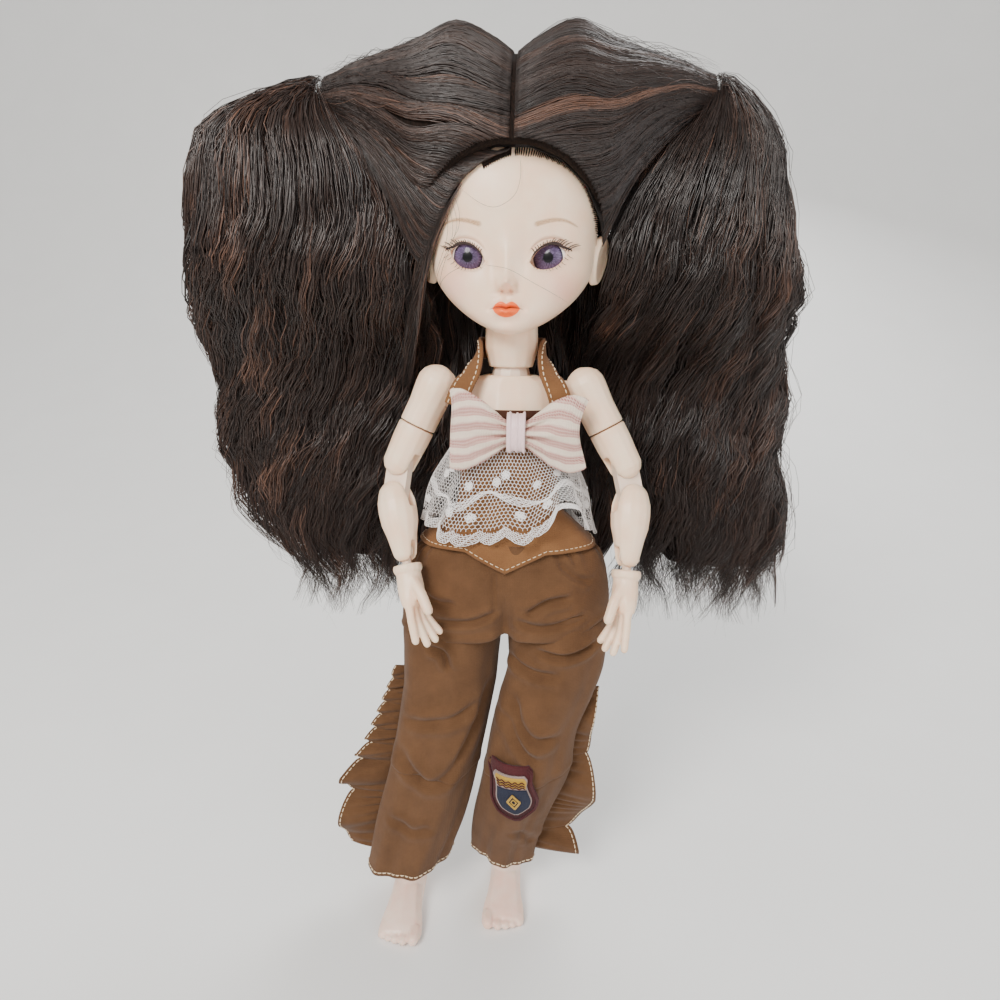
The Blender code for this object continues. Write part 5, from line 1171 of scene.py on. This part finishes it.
def lace_surface(angle, down):
    """The flounce at an angle and a share of its fall, with gathers that grow to the hem."""
    angle, down = np.broadcast_arrays(np.asarray(angle, float), np.asarray(down, float))
    top_x, top_y = chest_x + 2.0, chest_y * 1.1 + 2.0
    x, y = oval_point(angle, top_x + (29.5 - top_x) * down + 0.45, top_y + (20.0 - top_y) * down + 0.45)
    wave = down * (1.5 * np.sin(8 * angle) + 0.7 * np.sin(19 * angle + 3 * down) + 0.6 * np.sin(5 * angle + 1))
    wave = wave + 2.2 * bump(np.abs(np.sin(angle)), 0.12, 0.3) * np.sin(pi * np.clip(down, 0, 1)) ** 1.5
    x = x + wave * np.cos(angle)
    y = y + wave * np.sin(angle) + head_y * 0.76 * (1 - down)
    droop = 1.5 * np.sin(3 * angle + 1.0) + 1.0 * np.sin(5 * angle) + 0.5 * np.sin(13 * angle)
    turned = np.arctan2(np.sin(angle + 0.83), np.cos(angle + 0.83))
    lifted = 11.0 * bump(turned, 0, 0.27) * down ** 1.6
    z = shoulder_height - 19.0 - 30.0 * down - droop * down + lifted
    return np.stack([x, y - 1.2 * bump(turned, 0, 0.3) * down, z], -1)


def make_lace():
    """Hexagonal net with woven sprigs and a dense scalloped edge, all of real threads."""
    around, rows = 118, 22
    pitch_a = 2 * pi / around
    pitch_d = 0.84 / rows
    short = []
    for r in range(rows + 1):
        for c in range(around):
            a0 = (c + 0.5 * (r % 2)) * pitch_a
            d0 = 0.03 + r * pitch_d
            top = (a0, d0 - pitch_d * 0.30)
            low = (a0, d0 + pitch_d * 0.30)
            short.append((top, low))
            if r < rows:
                for way in (-0.5, 0.5):
                    short.append((low, (a0 + way * pitch_a, d0 + pitch_d * 0.70)))
    ends = np.array(short)
    ends = ends + rng.normal(0, 0.0012, ends.shape)
    along = ends[:, :1] + (ends[:, 1:] - ends[:, :1]) * np.linspace(0, 1, 4)[:, None]
    net = tubes("lace_net", lace_surface(along[..., 0], along[..., 1]), 0.1, lace_thread, sides=4, taper=1.0)
    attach(net, "chest")
    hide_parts("lace_peplum")
    make_sprigs()
    make_lace_edge()


def make_sprigs():
    """Small flowers, and a waving band of close threads between them, woven into the net."""
    flowers = 34
    petals, t = [], np.linspace(0, 1, 9)
    for flower in range(flowers):
        a0 = (flower + 0.5) * 2 * pi / flowers + 0.05 * sin(flower * 2.4)
        d0 = (0.26, 0.70, 0.44, 0.76, 0.36)[flower % 5] + 0.03 * sin(flower * 5.1)
        for petal in range(6):
            turn = petal * 2 * pi / 6 + 0.5 * flower
            for grow in (0.4, 0.9):
                long = (1.5 + 0.4 * sin(flower + petal)) * np.sin(pi * t)
                wide = 0.62 * grow * np.sin(2 * pi * t)
                along = long * np.cos(turn) - wide * np.sin(turn)
                down = long * np.sin(turn) + wide * np.cos(turn)
                petals.append(lace_surface(a0 + 0.041 * along, d0 + 0.033 * down))
    sprigs = tubes("lace_sprigs", petals, 0.15, lace_thread, sides=5, taper=0.8)
    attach(sprigs, "chest")
    turn = np.linspace(0, 2 * pi, 420)
    vines = []
    for row in range(6):
        sweep = 0.57 + 0.075 * np.sin(5 * turn + 1.0) + 0.03 * np.sin(11 * turn)
        spread = 0.011 + 0.007 * np.sin(9 * turn + 2)
        vines.append(lace_surface(turn, sweep + (row - 2.5) * spread + 0.004 * np.sin(60 * turn + row * 2)))
    vine = tubes("lace_vine", vines, 0.13, lace_thread, sides=5, taper=1.0)
    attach(vine, "chest")


def make_lace_edge():
    """Scalloped band: rows of thread that follow the scallops, loops between them and small points."""
    scallops, loops = 20, 240
    turn = np.linspace(0, 2 * pi, 480)
    dip = np.abs(np.sin(turn * scallops / 2)) ** 0.7
    paths = []
    for row in range(6):
        down = 0.875 + 0.020 * row + 0.055 * dip + 0.003 * np.sin(turn * 70 + row * 2)
        paths.append(lace_surface(turn, np.minimum(down, 1.035)))
    edge = tubes("lace_edge", paths, 0.12, lace_thread, sides=5, taper=1.0)
    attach(edge, "chest")
    t = np.linspace(0, 1, 6)
    rungs = []
    for c in range(loops):
        a0 = c * 2 * pi / loops
        dip = abs(sin(a0 * scallops / 2)) ** 0.7
        top, low = 0.868 + 0.04 * dip, min(0.98 + 0.055 * dip, 1.04)
        rungs.append(lace_surface(a0 + 0.016 * np.sin(t * pi * 2 + c), top + (low - top) * t))
    rung_mesh = tubes("lace_edge_rungs", rungs, 0.1, lace_thread, sides=5, taper=1.0)
    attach(rung_mesh, "chest")


# Bow

bow_wing, bow_high, bow_thick = 22.5, 13.0, 3.2
knot_high, knot_thick = bow_high * 0.34, bow_thick * 0.66
bow_y = -(chest_y * 1.1 + 1.5 - head_y) - 0.4 - (knot_thick + 0.6 + 1.3)
bow_centre = np.array([2.8, bow_y, shoulder_height - 13.5])


def make_bow():
    """Two pleated wings that spread from the knot, in slanting stripes."""
    rows = [(0.0, 0.30, 0.60), (0.14, 0.34, 0.66), (0.28, 0.52, 0.90), (0.50, 0.80, 1.0),
            (0.78, 1.0, 0.92), (0.96, 0.97, 0.62), (1.0, 0.92, 0.36)]
    place = np.linspace(-1, 1, 180)[:, None]
    turn = whole_turn(160)
    half_z, half_y = read_columns(rows, np.abs(place))
    upright, forward = np.cos(turn), np.sin(turn)
    fan = np.abs(place)
    near = smoothstep(fan * 6) * (1 - smoothstep((fan - 0.15) / 0.75))
    pleats = (1.0 * np.sin(upright * 10 + place * 2) + 0.5 * np.sin(upright * 21 + 1.3)) * near
    belly = 0.8 * np.sin(upright * 4.2 + 0.6 + place) * fan
    thick = bow_thick * half_y + (pleats + belly) * np.abs(forward)
    sides = bow_wing * (1 - 0.07 * (1 - upright ** 2) * fan - 0.03 * np.sin(upright * 3 + place) * fan)
    x = bow_centre[0] + place * sides
    y = bow_centre[1] + forward * thick + 1.5 * fan ** 2
    tilt = np.where(place < 0, 0.35 + 0.10 * upright, 0.10 - 0.15 * upright)
    z = upright * half_z * bow_high * (1 + 0.05 * np.sin(4 * place) * fan) + tilt * fan * 3.0 - 0.6
    bow = grid_object("bow_cloth", np.stack([x, y, bow_centre[2] + z], -1), twill_paint(), close_columns=True,
                      flip=True)
    attribute(bow, "across", bow_high * upright * (0.7 + 0.3 * fan))
    attribute(bow, "along", np.broadcast_to(bow_wing * fan, x.shape))
    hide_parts("bow")
    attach(bow, "chest")
    turn = whole_turn(64)
    across = np.linspace(-1, 1, 33)[:, None]
    ridge = 0.22 * np.sin(across * 8 + 0.7) + 0.12 * np.sin(across * 17)
    swell = 1.35 + ridge - 0.35 * across ** 6
    half_z = (knot_high + 0.4 + swell) * (1 + 0.12 * across ** 2)
    half_y = knot_thick + 0.6 + swell
    grid = bow_centre + np.stack([across * 3.0 + 0 * turn, half_y * np.sin(turn), half_z * np.cos(turn)], -1)
    knot = thicken(grid_object("knot_satin", grid, satin_paint(), close_columns=True, flip=True), 0.9)
    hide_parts("bow_knot")
    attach(knot, "chest")


# Trousers

leg_rows = {
    # fall from hip to hem, ease outward, width, depth
    -1: [(0.0, 1.19, 1.14, 1.04), (0.11, 0.87, 1.09, 1.02), (0.25, 0.43, 1.05, 1.0), (0.53, 0.13, 1.03, 1.0),
         (0.8, 0.07, 1.05, 1.02), (1.0, 0.12, 0.97, 1.05)],
    1: [(0.0, 1.02, 1.11, 1.04), (0.155, 1.25, 1.05, 1.02), (0.25, 0.98, 1.02, 1.04), (0.4, 0.48, 0.94, 1.05),
        (0.57, 0.36, 0.95, 1.05), (0.77, -0.13, 0.84, 0.95), (0.9, -0.3, 0.76, 0.85), (1.0, -0.25, 0.72, 0.8)],
}
leg_lean = {-1: radians(13), 1: radians(6)}
leg_step = {-1: radians(-1), 1: radians(3.9)}
hem_fall = {-1: hip_height - 23.0, 1: hip_height - 20.5}
joint_at = {joint["name"]: np.array(joint["pos_m"]) / MM - frame_shift for joint in frame["joints"]}
leg_drop = hip_height - 17.0
knee_fall = leg_drop / 2
knee_forward = {side: np.tan(leg_step[side]) * knee_fall
                - (joint_at["knee_upper_" + name][1] + joint_at["knee_lower_" + name][1]) / 2
                for side, name in side_name.items()}
creases = {
    # depth, half width and the line in x and z of each furrow in the front of a leg
    -1: [(0.9, 1.3, [(-28.0, 121.0), (-21.7, 118.9), (-19.4, 112.0)]),
         (0.8, 1.7, [(-37.5, 90.5), (-25.4, 91.1), (-16.0, 94.4), (-8.5, 100.5)]),
         (0.7, 1.6, [(-18.0, 73.0), (-9.2, 90.4), (-4.0, 107.0)]),
         (0.8, 1.9, [(-39.5, 82.0), (-33.4, 69.8), (-26.4, 66.4), (-19.0, 71.5), (-12.0, 86.0)]),
         (0.4, 1.5, [(-44.0, 50.0), (-34.0, 45.0), (-26.0, 48.0)])],
    1: [(1.0, 1.2, [(9.8, 121.5), (19.3, 120.0), (27.3, 121.0), (35.0, 124.0)]),
        (0.8, 1.5, [(1.5, 116.5), (8.6, 112.6), (21.0, 113.1)]),
        (1.0, 1.8, [(2.5, 104.3), (6.0, 93.2), (12.5, 87.8), (22.8, 88.0)]),
        (0.8, 1.8, [(0.0, 96.7), (6.2, 85.6), (14.0, 78.3)]),
        (0.5, 1.5, [(4.0, 44.0), (10.0, 38.0), (12.0, 32.0)])],
}


def crease_shift(lines, x, z):
    """How far cloth moves out beside drawn furrows: in along the line, out in a roll on either side."""
    shift = np.zeros_like(x)
    for depth, wide, line in lines:
        smooth = spline(line, np.linspace(0, len(line) - 1, 14))
        gap, where = distance_to_line(x, z, smooth)
        ends = smoothstep(where / 0.25) * smoothstep((1 - where) / 0.25)
        shift = shift + depth * ends * (0.55 * bump(gap, 1.9 * wide, 1.2 * wide) - bump(gap, 0, wide))
    return shift


def leg_section(side, fall):
    """Centre and half sizes of a trouser leg at a fall below the hip."""
    out, width, depth = read_columns(leg_rows[side], fall / hem_fall[side])
    forward = knee_forward[side] * 0.75 * np.maximum(0.0, 1 - np.abs(fall - knee_fall) / knee_fall)
    x = side * 13.0 - np.tan(leg_lean[side]) * fall + side * out * 6.0
    return x, np.tan(leg_step[side]) * fall - forward, 15.6 * width, 14.5 * depth


def leg_surface(side, angle, fall):
    """Outside of a trouser leg with its folds and creases."""
    x, y, half_x, half_y = leg_section(side, fall)
    px, py = oval_point(angle, half_x + 1.0, half_y + 1.0)
    share = fall / hem_fall[side]
    fold = 0.6 * (1 + share) * np.cos(5 * angle + side + share)
    crease = 0.25 * np.sin(13 * angle + 7 * share + side) * (0.3 + share)
    back = smoothstep(np.sin(angle) * 2)
    crease = crease + 0.7 * back * np.sin(fall * 0.23 + 2.4 * np.cos(angle + side)) * bump(share, 0.5, 0.25)
    front = smoothstep(-np.sin(angle) * 2.5)
    drawn = crease_shift(creases[side], x + px, hip_height - fall)
    reach = fold + crease + 2.0 * drawn * front
    hem = smoothstep((share - 0.7) / 0.3) * (1.5 * np.cos(angle) * -side + 0.5 * np.sin(3 * angle + side))
    return np.stack([x + px + reach * np.cos(angle), y + py + reach * np.sin(angle),
                     hip_height - fall + np.where(share > 0.7, hem, 0.0)], -1)


def knee_seam(side, angle):
    """Fall of the line where the upper and the lower half of a leg meet, along a fold of the cloth."""
    front = np.clip(-np.sin(angle), 0, 1)
    return knee_fall + 3.2 * front - 2.2 * np.clip(side * np.cos(angle), -1, 1)


def follow_leg(item, label):
    """Bakes the cloth's placement into its mesh, above the knee and below it alike."""
    if label == "upper":
        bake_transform(item)
    else:
        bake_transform(item)


def make_trouser_legs():
    turn = whole_turn(180)
    for side, name in side_name.items():
        seam = knee_seam(side, turn)
        for label, start, stop in (("upper", -6.0, seam + 1.6), ("lower", seam - 1.5, hem_fall[side])):
            share = np.linspace(0, 1, 110)[:, None]
            fall = start + (stop - start) * share
            grid = leg_surface(side, turn + 0 * fall, fall)
            if label == "upper":
                tuck = 0.14 * smoothstep((4.0 - fall) / 8.0)
                hang = 0.35 * smoothstep((share - 0.93) / 0.07)
                centre = np.stack([side * 16.0 + 0 * fall, 0 * fall, grid[..., 2]], -1)
                grid = grid + (centre - grid) * tuck[..., None]
                grid = grid + hang[..., None] * outward(turn)
            else:
                under = 0.9 * smoothstep((0.09 - share) / 0.07)
                grid = grid - under[..., None] * outward(turn)
            leg = grid_object("trouser_%s_cloth_%s" % (label, name), grid, trouser_cloth, close_columns=True,
                              flip=True)
            thicken(leg, 0.8)
            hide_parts("trouser_%s_%s" % (label, name))
            follow_leg(leg, label)
        a = np.linspace(0, 2 * pi, 500)
        line = leg_surface(side, a, np.full(500, hem_fall[side] - 1.6))
        stitch_row("hem_stitches_" + name, line, outward(a), length=1.5, gap=0.5, radius=0.22,
                   body="shin_" + name)


seat_edge = np.array([
    # x and height of the seat's lower edge in front
    (-41.0, 124.5), (-33.0, 124.0), (-21.6, 123.5), (-9.4, 124.3), (-4.0, 125.5), (0.2, 126.5),
    (3.8, 125.8), (7.4, 125.6), (16.1, 125.3), (25.8, 126.2), (33.9, 130.5), (41.0, 133.0)])
seat_creases = [
    (0.9, 1.4, [(7.0, 135.0), (15.0, 140.3), (23.8, 141.2)]),
    (0.7, 1.2, [(-2.0, 137.0), (-12.0, 132.0), (-27.0, 131.0)]),
    (0.7, 1.3, [(3.0, 134.0), (14.0, 131.0), (30.0, 134.5)]),
    (0.5, 1.0, [(-3.0, 134.0), (-3.5, 144.0), (-4.0, 152.0)]),
    (0.6, 1.4, [(-33.0, 142.0), (-24.0, 138.0), (-17.0, 138.5)]),
    (0.6, 1.2, [(31.0, 146.0), (24.0, 149.0), (18.0, 155.0)])]


def make_seat():
    """Trouser top, gathered at the waist, with creases that run to the crotch."""
    rows = [(0.0, 0.0), (0.13, 0.55), (0.30, 0.80), (0.60, 0.97), (1.0, 1.02)]
    turn = whole_turn(260)
    height = np.linspace(0, 1, 110)[:, None]
    share = read_rows(rows, 1, height.ravel())[:, None]
    half_x = 26.0 + (36.0 - 26.0) * share + 1.2 + 0.9 * smoothstep(height * 1.5)
    half_y = 15.0 + (16.6 - 15.0) * share + 1.1
    px, py = oval_point(turn, half_x, half_y)
    px = px - 0.9 * smoothstep(height)
    front = smoothstep(-np.sin(turn) * 3)
    edge = read_rows(seat_edge, 1, px[-1])[None]
    back_edge = 123.0 + 5.0 * bump(px[-1:], 0, 5.0)
    low = front * edge + (1 - front) * back_edge
    top = hip_height + 32.0
    z = top - (top - low) * height
    gather = 0.6 * np.sin(26 * turn + 2 * np.sin(7 * turn)) * smoothstep((0.4 - height) / 0.4)
    fold = 0.3 * np.cos(5 * turn)
    cleft = 5.0 * bump(px, 0.2, 3.0) * smoothstep((height - 0.45) / 0.55)
    roll = 0.5 * bump(height, 0.96, 0.04)
    drawn = 2.0 * crease_shift(seat_creases, px, z) * front
    reach = gather + fold + drawn + roll
    grid = np.stack([px + reach * np.cos(turn), py + reach * np.sin(turn) - cleft * np.sign(py), z], -1)
    seat = thicken(grid_object("seat_cloth", grid, trouser_cloth, close_columns=True, flip=True), 0.8, -1.0)
    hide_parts("trouser_seat")
    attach(seat, "pelvis")


frill_widths = {
    # share of the fall from hip to hem, width in millimetres
    -1: [(0.21, 3.0), (0.53, 11.0), (0.66, 16.7), (1.0, 11.0)],
    1: [(0.25, 2.5), (0.52, 9.0), (0.7, 16.0), (1.0, 19.0)],
}
frill_lobes = {
    # fall below the hip, number of the gathered lobe there
    -1: [(22.0, 0.0), (28.0, 1.0), (33.0, 2.0), (38.0, 3.0), (43.5, 4.0), (49.4, 5.0), (56.0, 6.0), (64.0, 7.0),
         (79.5, 8.0), (104.0, 9.0)],
    1: [(26.0, 0.0), (56.0, 1.0), (76.0, 1.5), (97.0, 2.0), (107.5, 2.55)],
}


def ruffle_surface(side, fall, out):
    """A gathered frill: out runs from seam to edge at a fall below the hip."""
    x, y, half_x, _ = leg_section(side, fall)
    down = fall / hem_fall[side]
    root = x + side * (half_x + 1.3 + 0.6 * (1 + down) * np.cos(side + down))
    width = np.interp(down, *np.array(frill_widths[side]).T)
    table = np.array(frill_lobes[side])
    lobe = np.interp(fall, *table.T)
    pitch = np.clip(2.0 / (np.interp(fall + 1.0, *table.T) - np.interp(fall - 1.0, *table.T) + 1e-3), 4.0, 14.0)
    ease = smoothstep((fall - table[0, 0]) / 4.0)
    part = lobe - np.floor(lobe)
    bulge = np.sin(pi * part) ** 0.5
    open_out = np.clip(out, 0, 1) ** 0.8
    reach = width * (0.70 + 0.33 * bulge)
    sway = -ease * open_out * 0.27 * pitch * np.sin(2 * pi * part - 0.9)
    pull = np.sin(pi * np.clip(out, 0, 1) ** 0.5) * (1 - 0.4 * np.sin(fall * 0.37))
    sway = sway - 0.4 * pull * np.sin(2 * pi * fall / 4.1 + 2.6 * np.sin(fall * 0.23) - 2.5 * out)
    drop = ease * open_out * 0.07 * pitch * bulge
    pucker = 0.35 * (1 - out) * np.sin(4 * pi * lobe)
    return np.stack([root + side * (out * reach - 3.6 * (1 - out) ** 2), y + sway + pucker - 0.6 * np.sin(pi * out),
                     hip_height - fall - drop], -1)


def make_ruffles():
    for side, name in side_name.items():
        top = frill_widths[side][0][0] * hem_fall[side]
        for label, start, stop in (("upper", top, knee_fall + 0.3), ("lower", knee_fall + 0.3, hem_fall[side])):
            out = np.linspace(0, 1, 24)[None]
            fall = np.linspace(start, stop, 320 if label == "lower" else 220)[:, None]
            grid = ruffle_surface(side, fall + 0 * out, out + 0 * fall)
            frill = grid_object("frill_%s_%s" % (label, name), grid, trouser_cloth, flip=side > 0)
            thicken(frill, 0.7, 0.0)
            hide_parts("ruffle_%s_%s" % (label, name))
            follow_leg(frill, label)
            fall = np.linspace(start, stop, 500)
            line = ruffle_surface(side, fall, np.full(500, 0.93))
            for way in (-1, 1):
                normal = np.tile(np.array([0.0, way, 0.0]), (500, 1))
                row = stitch_row("frill_stitches_%s_%s_%d" % (label, name, way > 0), line + normal * 0.4, normal,
                                 length=1.5, gap=0.5, radius=0.2)
                follow_leg(row, label)


def badge_point(along, down, lift):
    """A point of the badge's face, along and down in millimetres from its middle."""
    tilt = radians(-9)
    middle_fall = hem_fall[1] - 45.0
    x0 = leg_section(1, np.array([middle_fall]))[0][0] - 4.0
    x = x0 + along * np.cos(tilt) - down * np.sin(tilt)
    fall = middle_fall + down * np.cos(tilt) + along * np.sin(tilt)
    cx, cy, half_x, half_y = leg_section(1, fall)
    aside = np.minimum(1.0, np.abs(x - cx) / (half_x + 1.0))
    bow_in = (1 - aside ** cloth_power) ** (1 / cloth_power)
    y = cy - (half_y + 1.0 + 1.2 + 1.0) * bow_in
    return np.stack([x, y - lift, hip_height - fall], -1)


badge_rows = [(0.0, 0.82), (0.08, 0.94), (0.22, 0.86), (0.38, 0.90), (0.62, 0.98), (0.82, 0.78), (0.94, 0.38),
              (1.0, 0.12)]


def badge_layer(name, material, scale, low, high, lift, thickness):
    """One layer of the badge between two heights, scaled about its middle."""
    height = np.linspace(low, high, 40)[:, None]
    width = read_rows(badge_rows, 1, height.ravel())[:, None]
    across = np.linspace(-1, 1, 36)[None]
    along = across * width * 8.5 * scale
    down = (height - 0.5) * 23.0 * scale + 0 * across
    item = grid_object(name, badge_point(along, down, lift), material)
    thicken(item, thickness, 1.0)
    follow_leg(item, "lower")
    return item


def make_badge():
    maroon = cotton_paint("badge_maroon", (0.035, 0.007, 0.009), (0.085, 0.016, 0.018), 0.25)
    cream = thread_paint("badge_cream", (0.30, 0.22, 0.19), (0.17, 0.11, 0.10))
    navy = cotton_paint("badge_navy", (0.006, 0.008, 0.018), (0.015, 0.02, 0.045), 0.2)
    yellow = thread_paint("badge_yellow", (0.48, 0.29, 0.02), (0.28, 0.15, 0.012))
    base = badge_layer("badge_base", maroon, 1.1, 0.0, 1.0, 0.0, 0.9)
    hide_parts("badge")
    badge_layer("badge_outline", cream, 0.81, 0.0, 1.0, 0.75, 0.5)
    badge_layer("badge_field", navy, 0.755, 0.30, 1.0, 1.05, 0.45)
    badge_layer("badge_band", yellow, 0.755, 0.0, 0.25, 1.05, 0.45)
    paths = []
    t = np.linspace(0, 1, 30)
    for size in (1.0, 0.8, 0.4):
        corners = np.array([(0, -3.6), (2.6, 0), (0, 3.6), (-2.6, 0), (0, -3.6)]) * size
        spot = np.stack([np.interp(t * 4, np.arange(5), corners[:, i]) for i in (0, 1)], -1)
        paths.append(badge_point(spot[:, 0], spot[:, 1] + 2.0, 1.6))
    lozenge = tubes("badge_lozenge", paths, 0.24, yellow, sides=6, taper=1.0)
    follow_leg(lozenge, "lower")
    waves = []
    for row in range(3):
        along = np.linspace(-5.2, 5.2, 60)
        waves.append(badge_point(along, -7.2 + row * 1.1 + 0.35 * np.sin(along * 2.6), 1.55))
    zigzag = tubes("badge_waves", waves, 0.22, maroon, sides=6, taper=1.0)
    follow_leg(zigzag, "lower")
    rims = []
    for scale in (1.07, 1.02):
        h = np.linspace(0, 1, 60)
        width = read_rows(badge_rows, 1, h)
        left = np.stack([-width * 8.5 * scale, (h - 0.5) * 23 * scale], -1)
        right = np.stack([width * 8.5 * scale, (h - 0.5) * 23 * scale], -1)[::-1]
        ring = np.concatenate([left, right])
        rims.append(badge_point(ring[:, 0], ring[:, 1], 0.8))
    rim = tubes("badge_rim", rims, 0.3, maroon, sides=6, taper=1.0)
    follow_leg(rim, "lower")


# Body

def paint_cad():
    """Finishes for the CAD nodes that stay in view."""
    for item in bpy.data.objects:
        if item.type != "MESH":
            continue
        name = item.name
        if name.startswith("foot"):
            new = feet_skin
        elif name in ("neck_ball", "waist_ball") or name.startswith(("elbow_link", "knee_link", "wrist_peg")):
            new = joint_skin
        elif name == "wig_cap":
            new = wig_net
        elif name in cad_skin:
            new = skin
        else:
            continue
        give(item, new)
        if name.startswith(round_nodes):
            round_off(item, 0.42, 7)


round_nodes = ("hand", "foot", "upper_arm", "elbow_sleeve", "forearm", "neck_post", "chest", "knee_sleeve")
cad_skin = {item.name for item in bpy.data.objects if item.type == "MESH"}


# Stage

def area_light(name, place, size, power, target, colour=(1, 1, 1)):
    data = bpy.data.lights.new(name, "AREA")
    data.shape = "DISK"
    data.size = size
    data.energy = power
    data.color = colour
    lamp = bpy.data.objects.new(name, data)
    lamp.location = Vector(place)
    lamp.rotation_euler = (Vector(target) - Vector(place)).to_track_quat("-Z", "Y").to_euler()
    bpy.context.collection.objects.link(lamp)


def make_stage():
    paper = Paint("paper", (0.8, 0.8, 0.79), 0.9)
    paper.set("Base Color", paper.mix(paper.noise(0.02, 2.0), (0.79, 0.79, 0.78), (0.83, 0.83, 0.82)))
    width, bend = 6000.0, 900.0
    profile = [(-4000.0, 0.0), (120.0, 0.0)]
    for step in range(1, 49):
        a = step / 48 * pi / 2
        profile.append((120.0 + bend * sin(a), bend * (1 - cos(a))))
    profile.append((120.0 + bend, 5400.0))
    grid = np.array([[(x, y, z) for y, z in profile] for x in (-width, width)])
    floor = grid_object("floor", grid, paper.material)
    middle = (0.0, 0.0, 0.18)
    area_light("key", (-0.35, -0.75, 0.75), 0.45, 12.0, middle, (1.0, 0.97, 0.93))
    area_light("fill", (0.7, -0.8, 0.4), 0.8, 3.0, middle, (0.98, 0.98, 1.0))
    area_light("back", (0.3, 0.55, 0.8), 0.6, 5, middle)
    world_data = bpy.data.worlds.new("studio")
    world_data.use_nodes = True
    world_data.node_tree.nodes["Background"].inputs[0].default_value = (1.0, 0.985, 0.965, 1)
    world_data.node_tree.nodes["Background"].inputs[1].default_value = 0.82
    bpy.context.scene.world = world_data


def make_camera():
    data = bpy.data.cameras.new("camera")
    data.lens = 23.80
    data.sensor_width = 36.0
    data.clip_start = 0.01
    data.clip_end = 20.0
    camera = bpy.data.objects.new("camera", data)
    bpy.context.collection.objects.link(camera)
    pitch, yaw, roll = radians(14.16), radians(-3.26), radians(0.85)
    forward = Vector((sin(yaw) * cos(pitch), cos(yaw) * cos(pitch), -sin(pitch)))
    level = Vector((cos(yaw), -sin(yaw), 0))
    upright = level.cross(forward)
    right = cos(roll) * level + sin(roll) * upright
    top = -sin(roll) * level + cos(roll) * upright
    camera.matrix_world = Matrix((
        (right.x, top.x, -forward.x, 0), (right.y, top.y, -forward.y, 0),
        (right.z, top.z, -forward.z, 0), (0, 0, 0, 1)))
    camera.location = Vector(world((10.0, -229.2, 230.1)))
    bpy.context.scene.camera = camera


make_camera()
make_head()
make_eyes()
make_lashes()
make_vest()
make_straps()
make_lace()
make_bow()
make_trouser_legs()
make_seat()
make_ruffles()
make_badge()
make_bunches()
make_crown()
make_back_hair()
paint_cad()
make_stage()
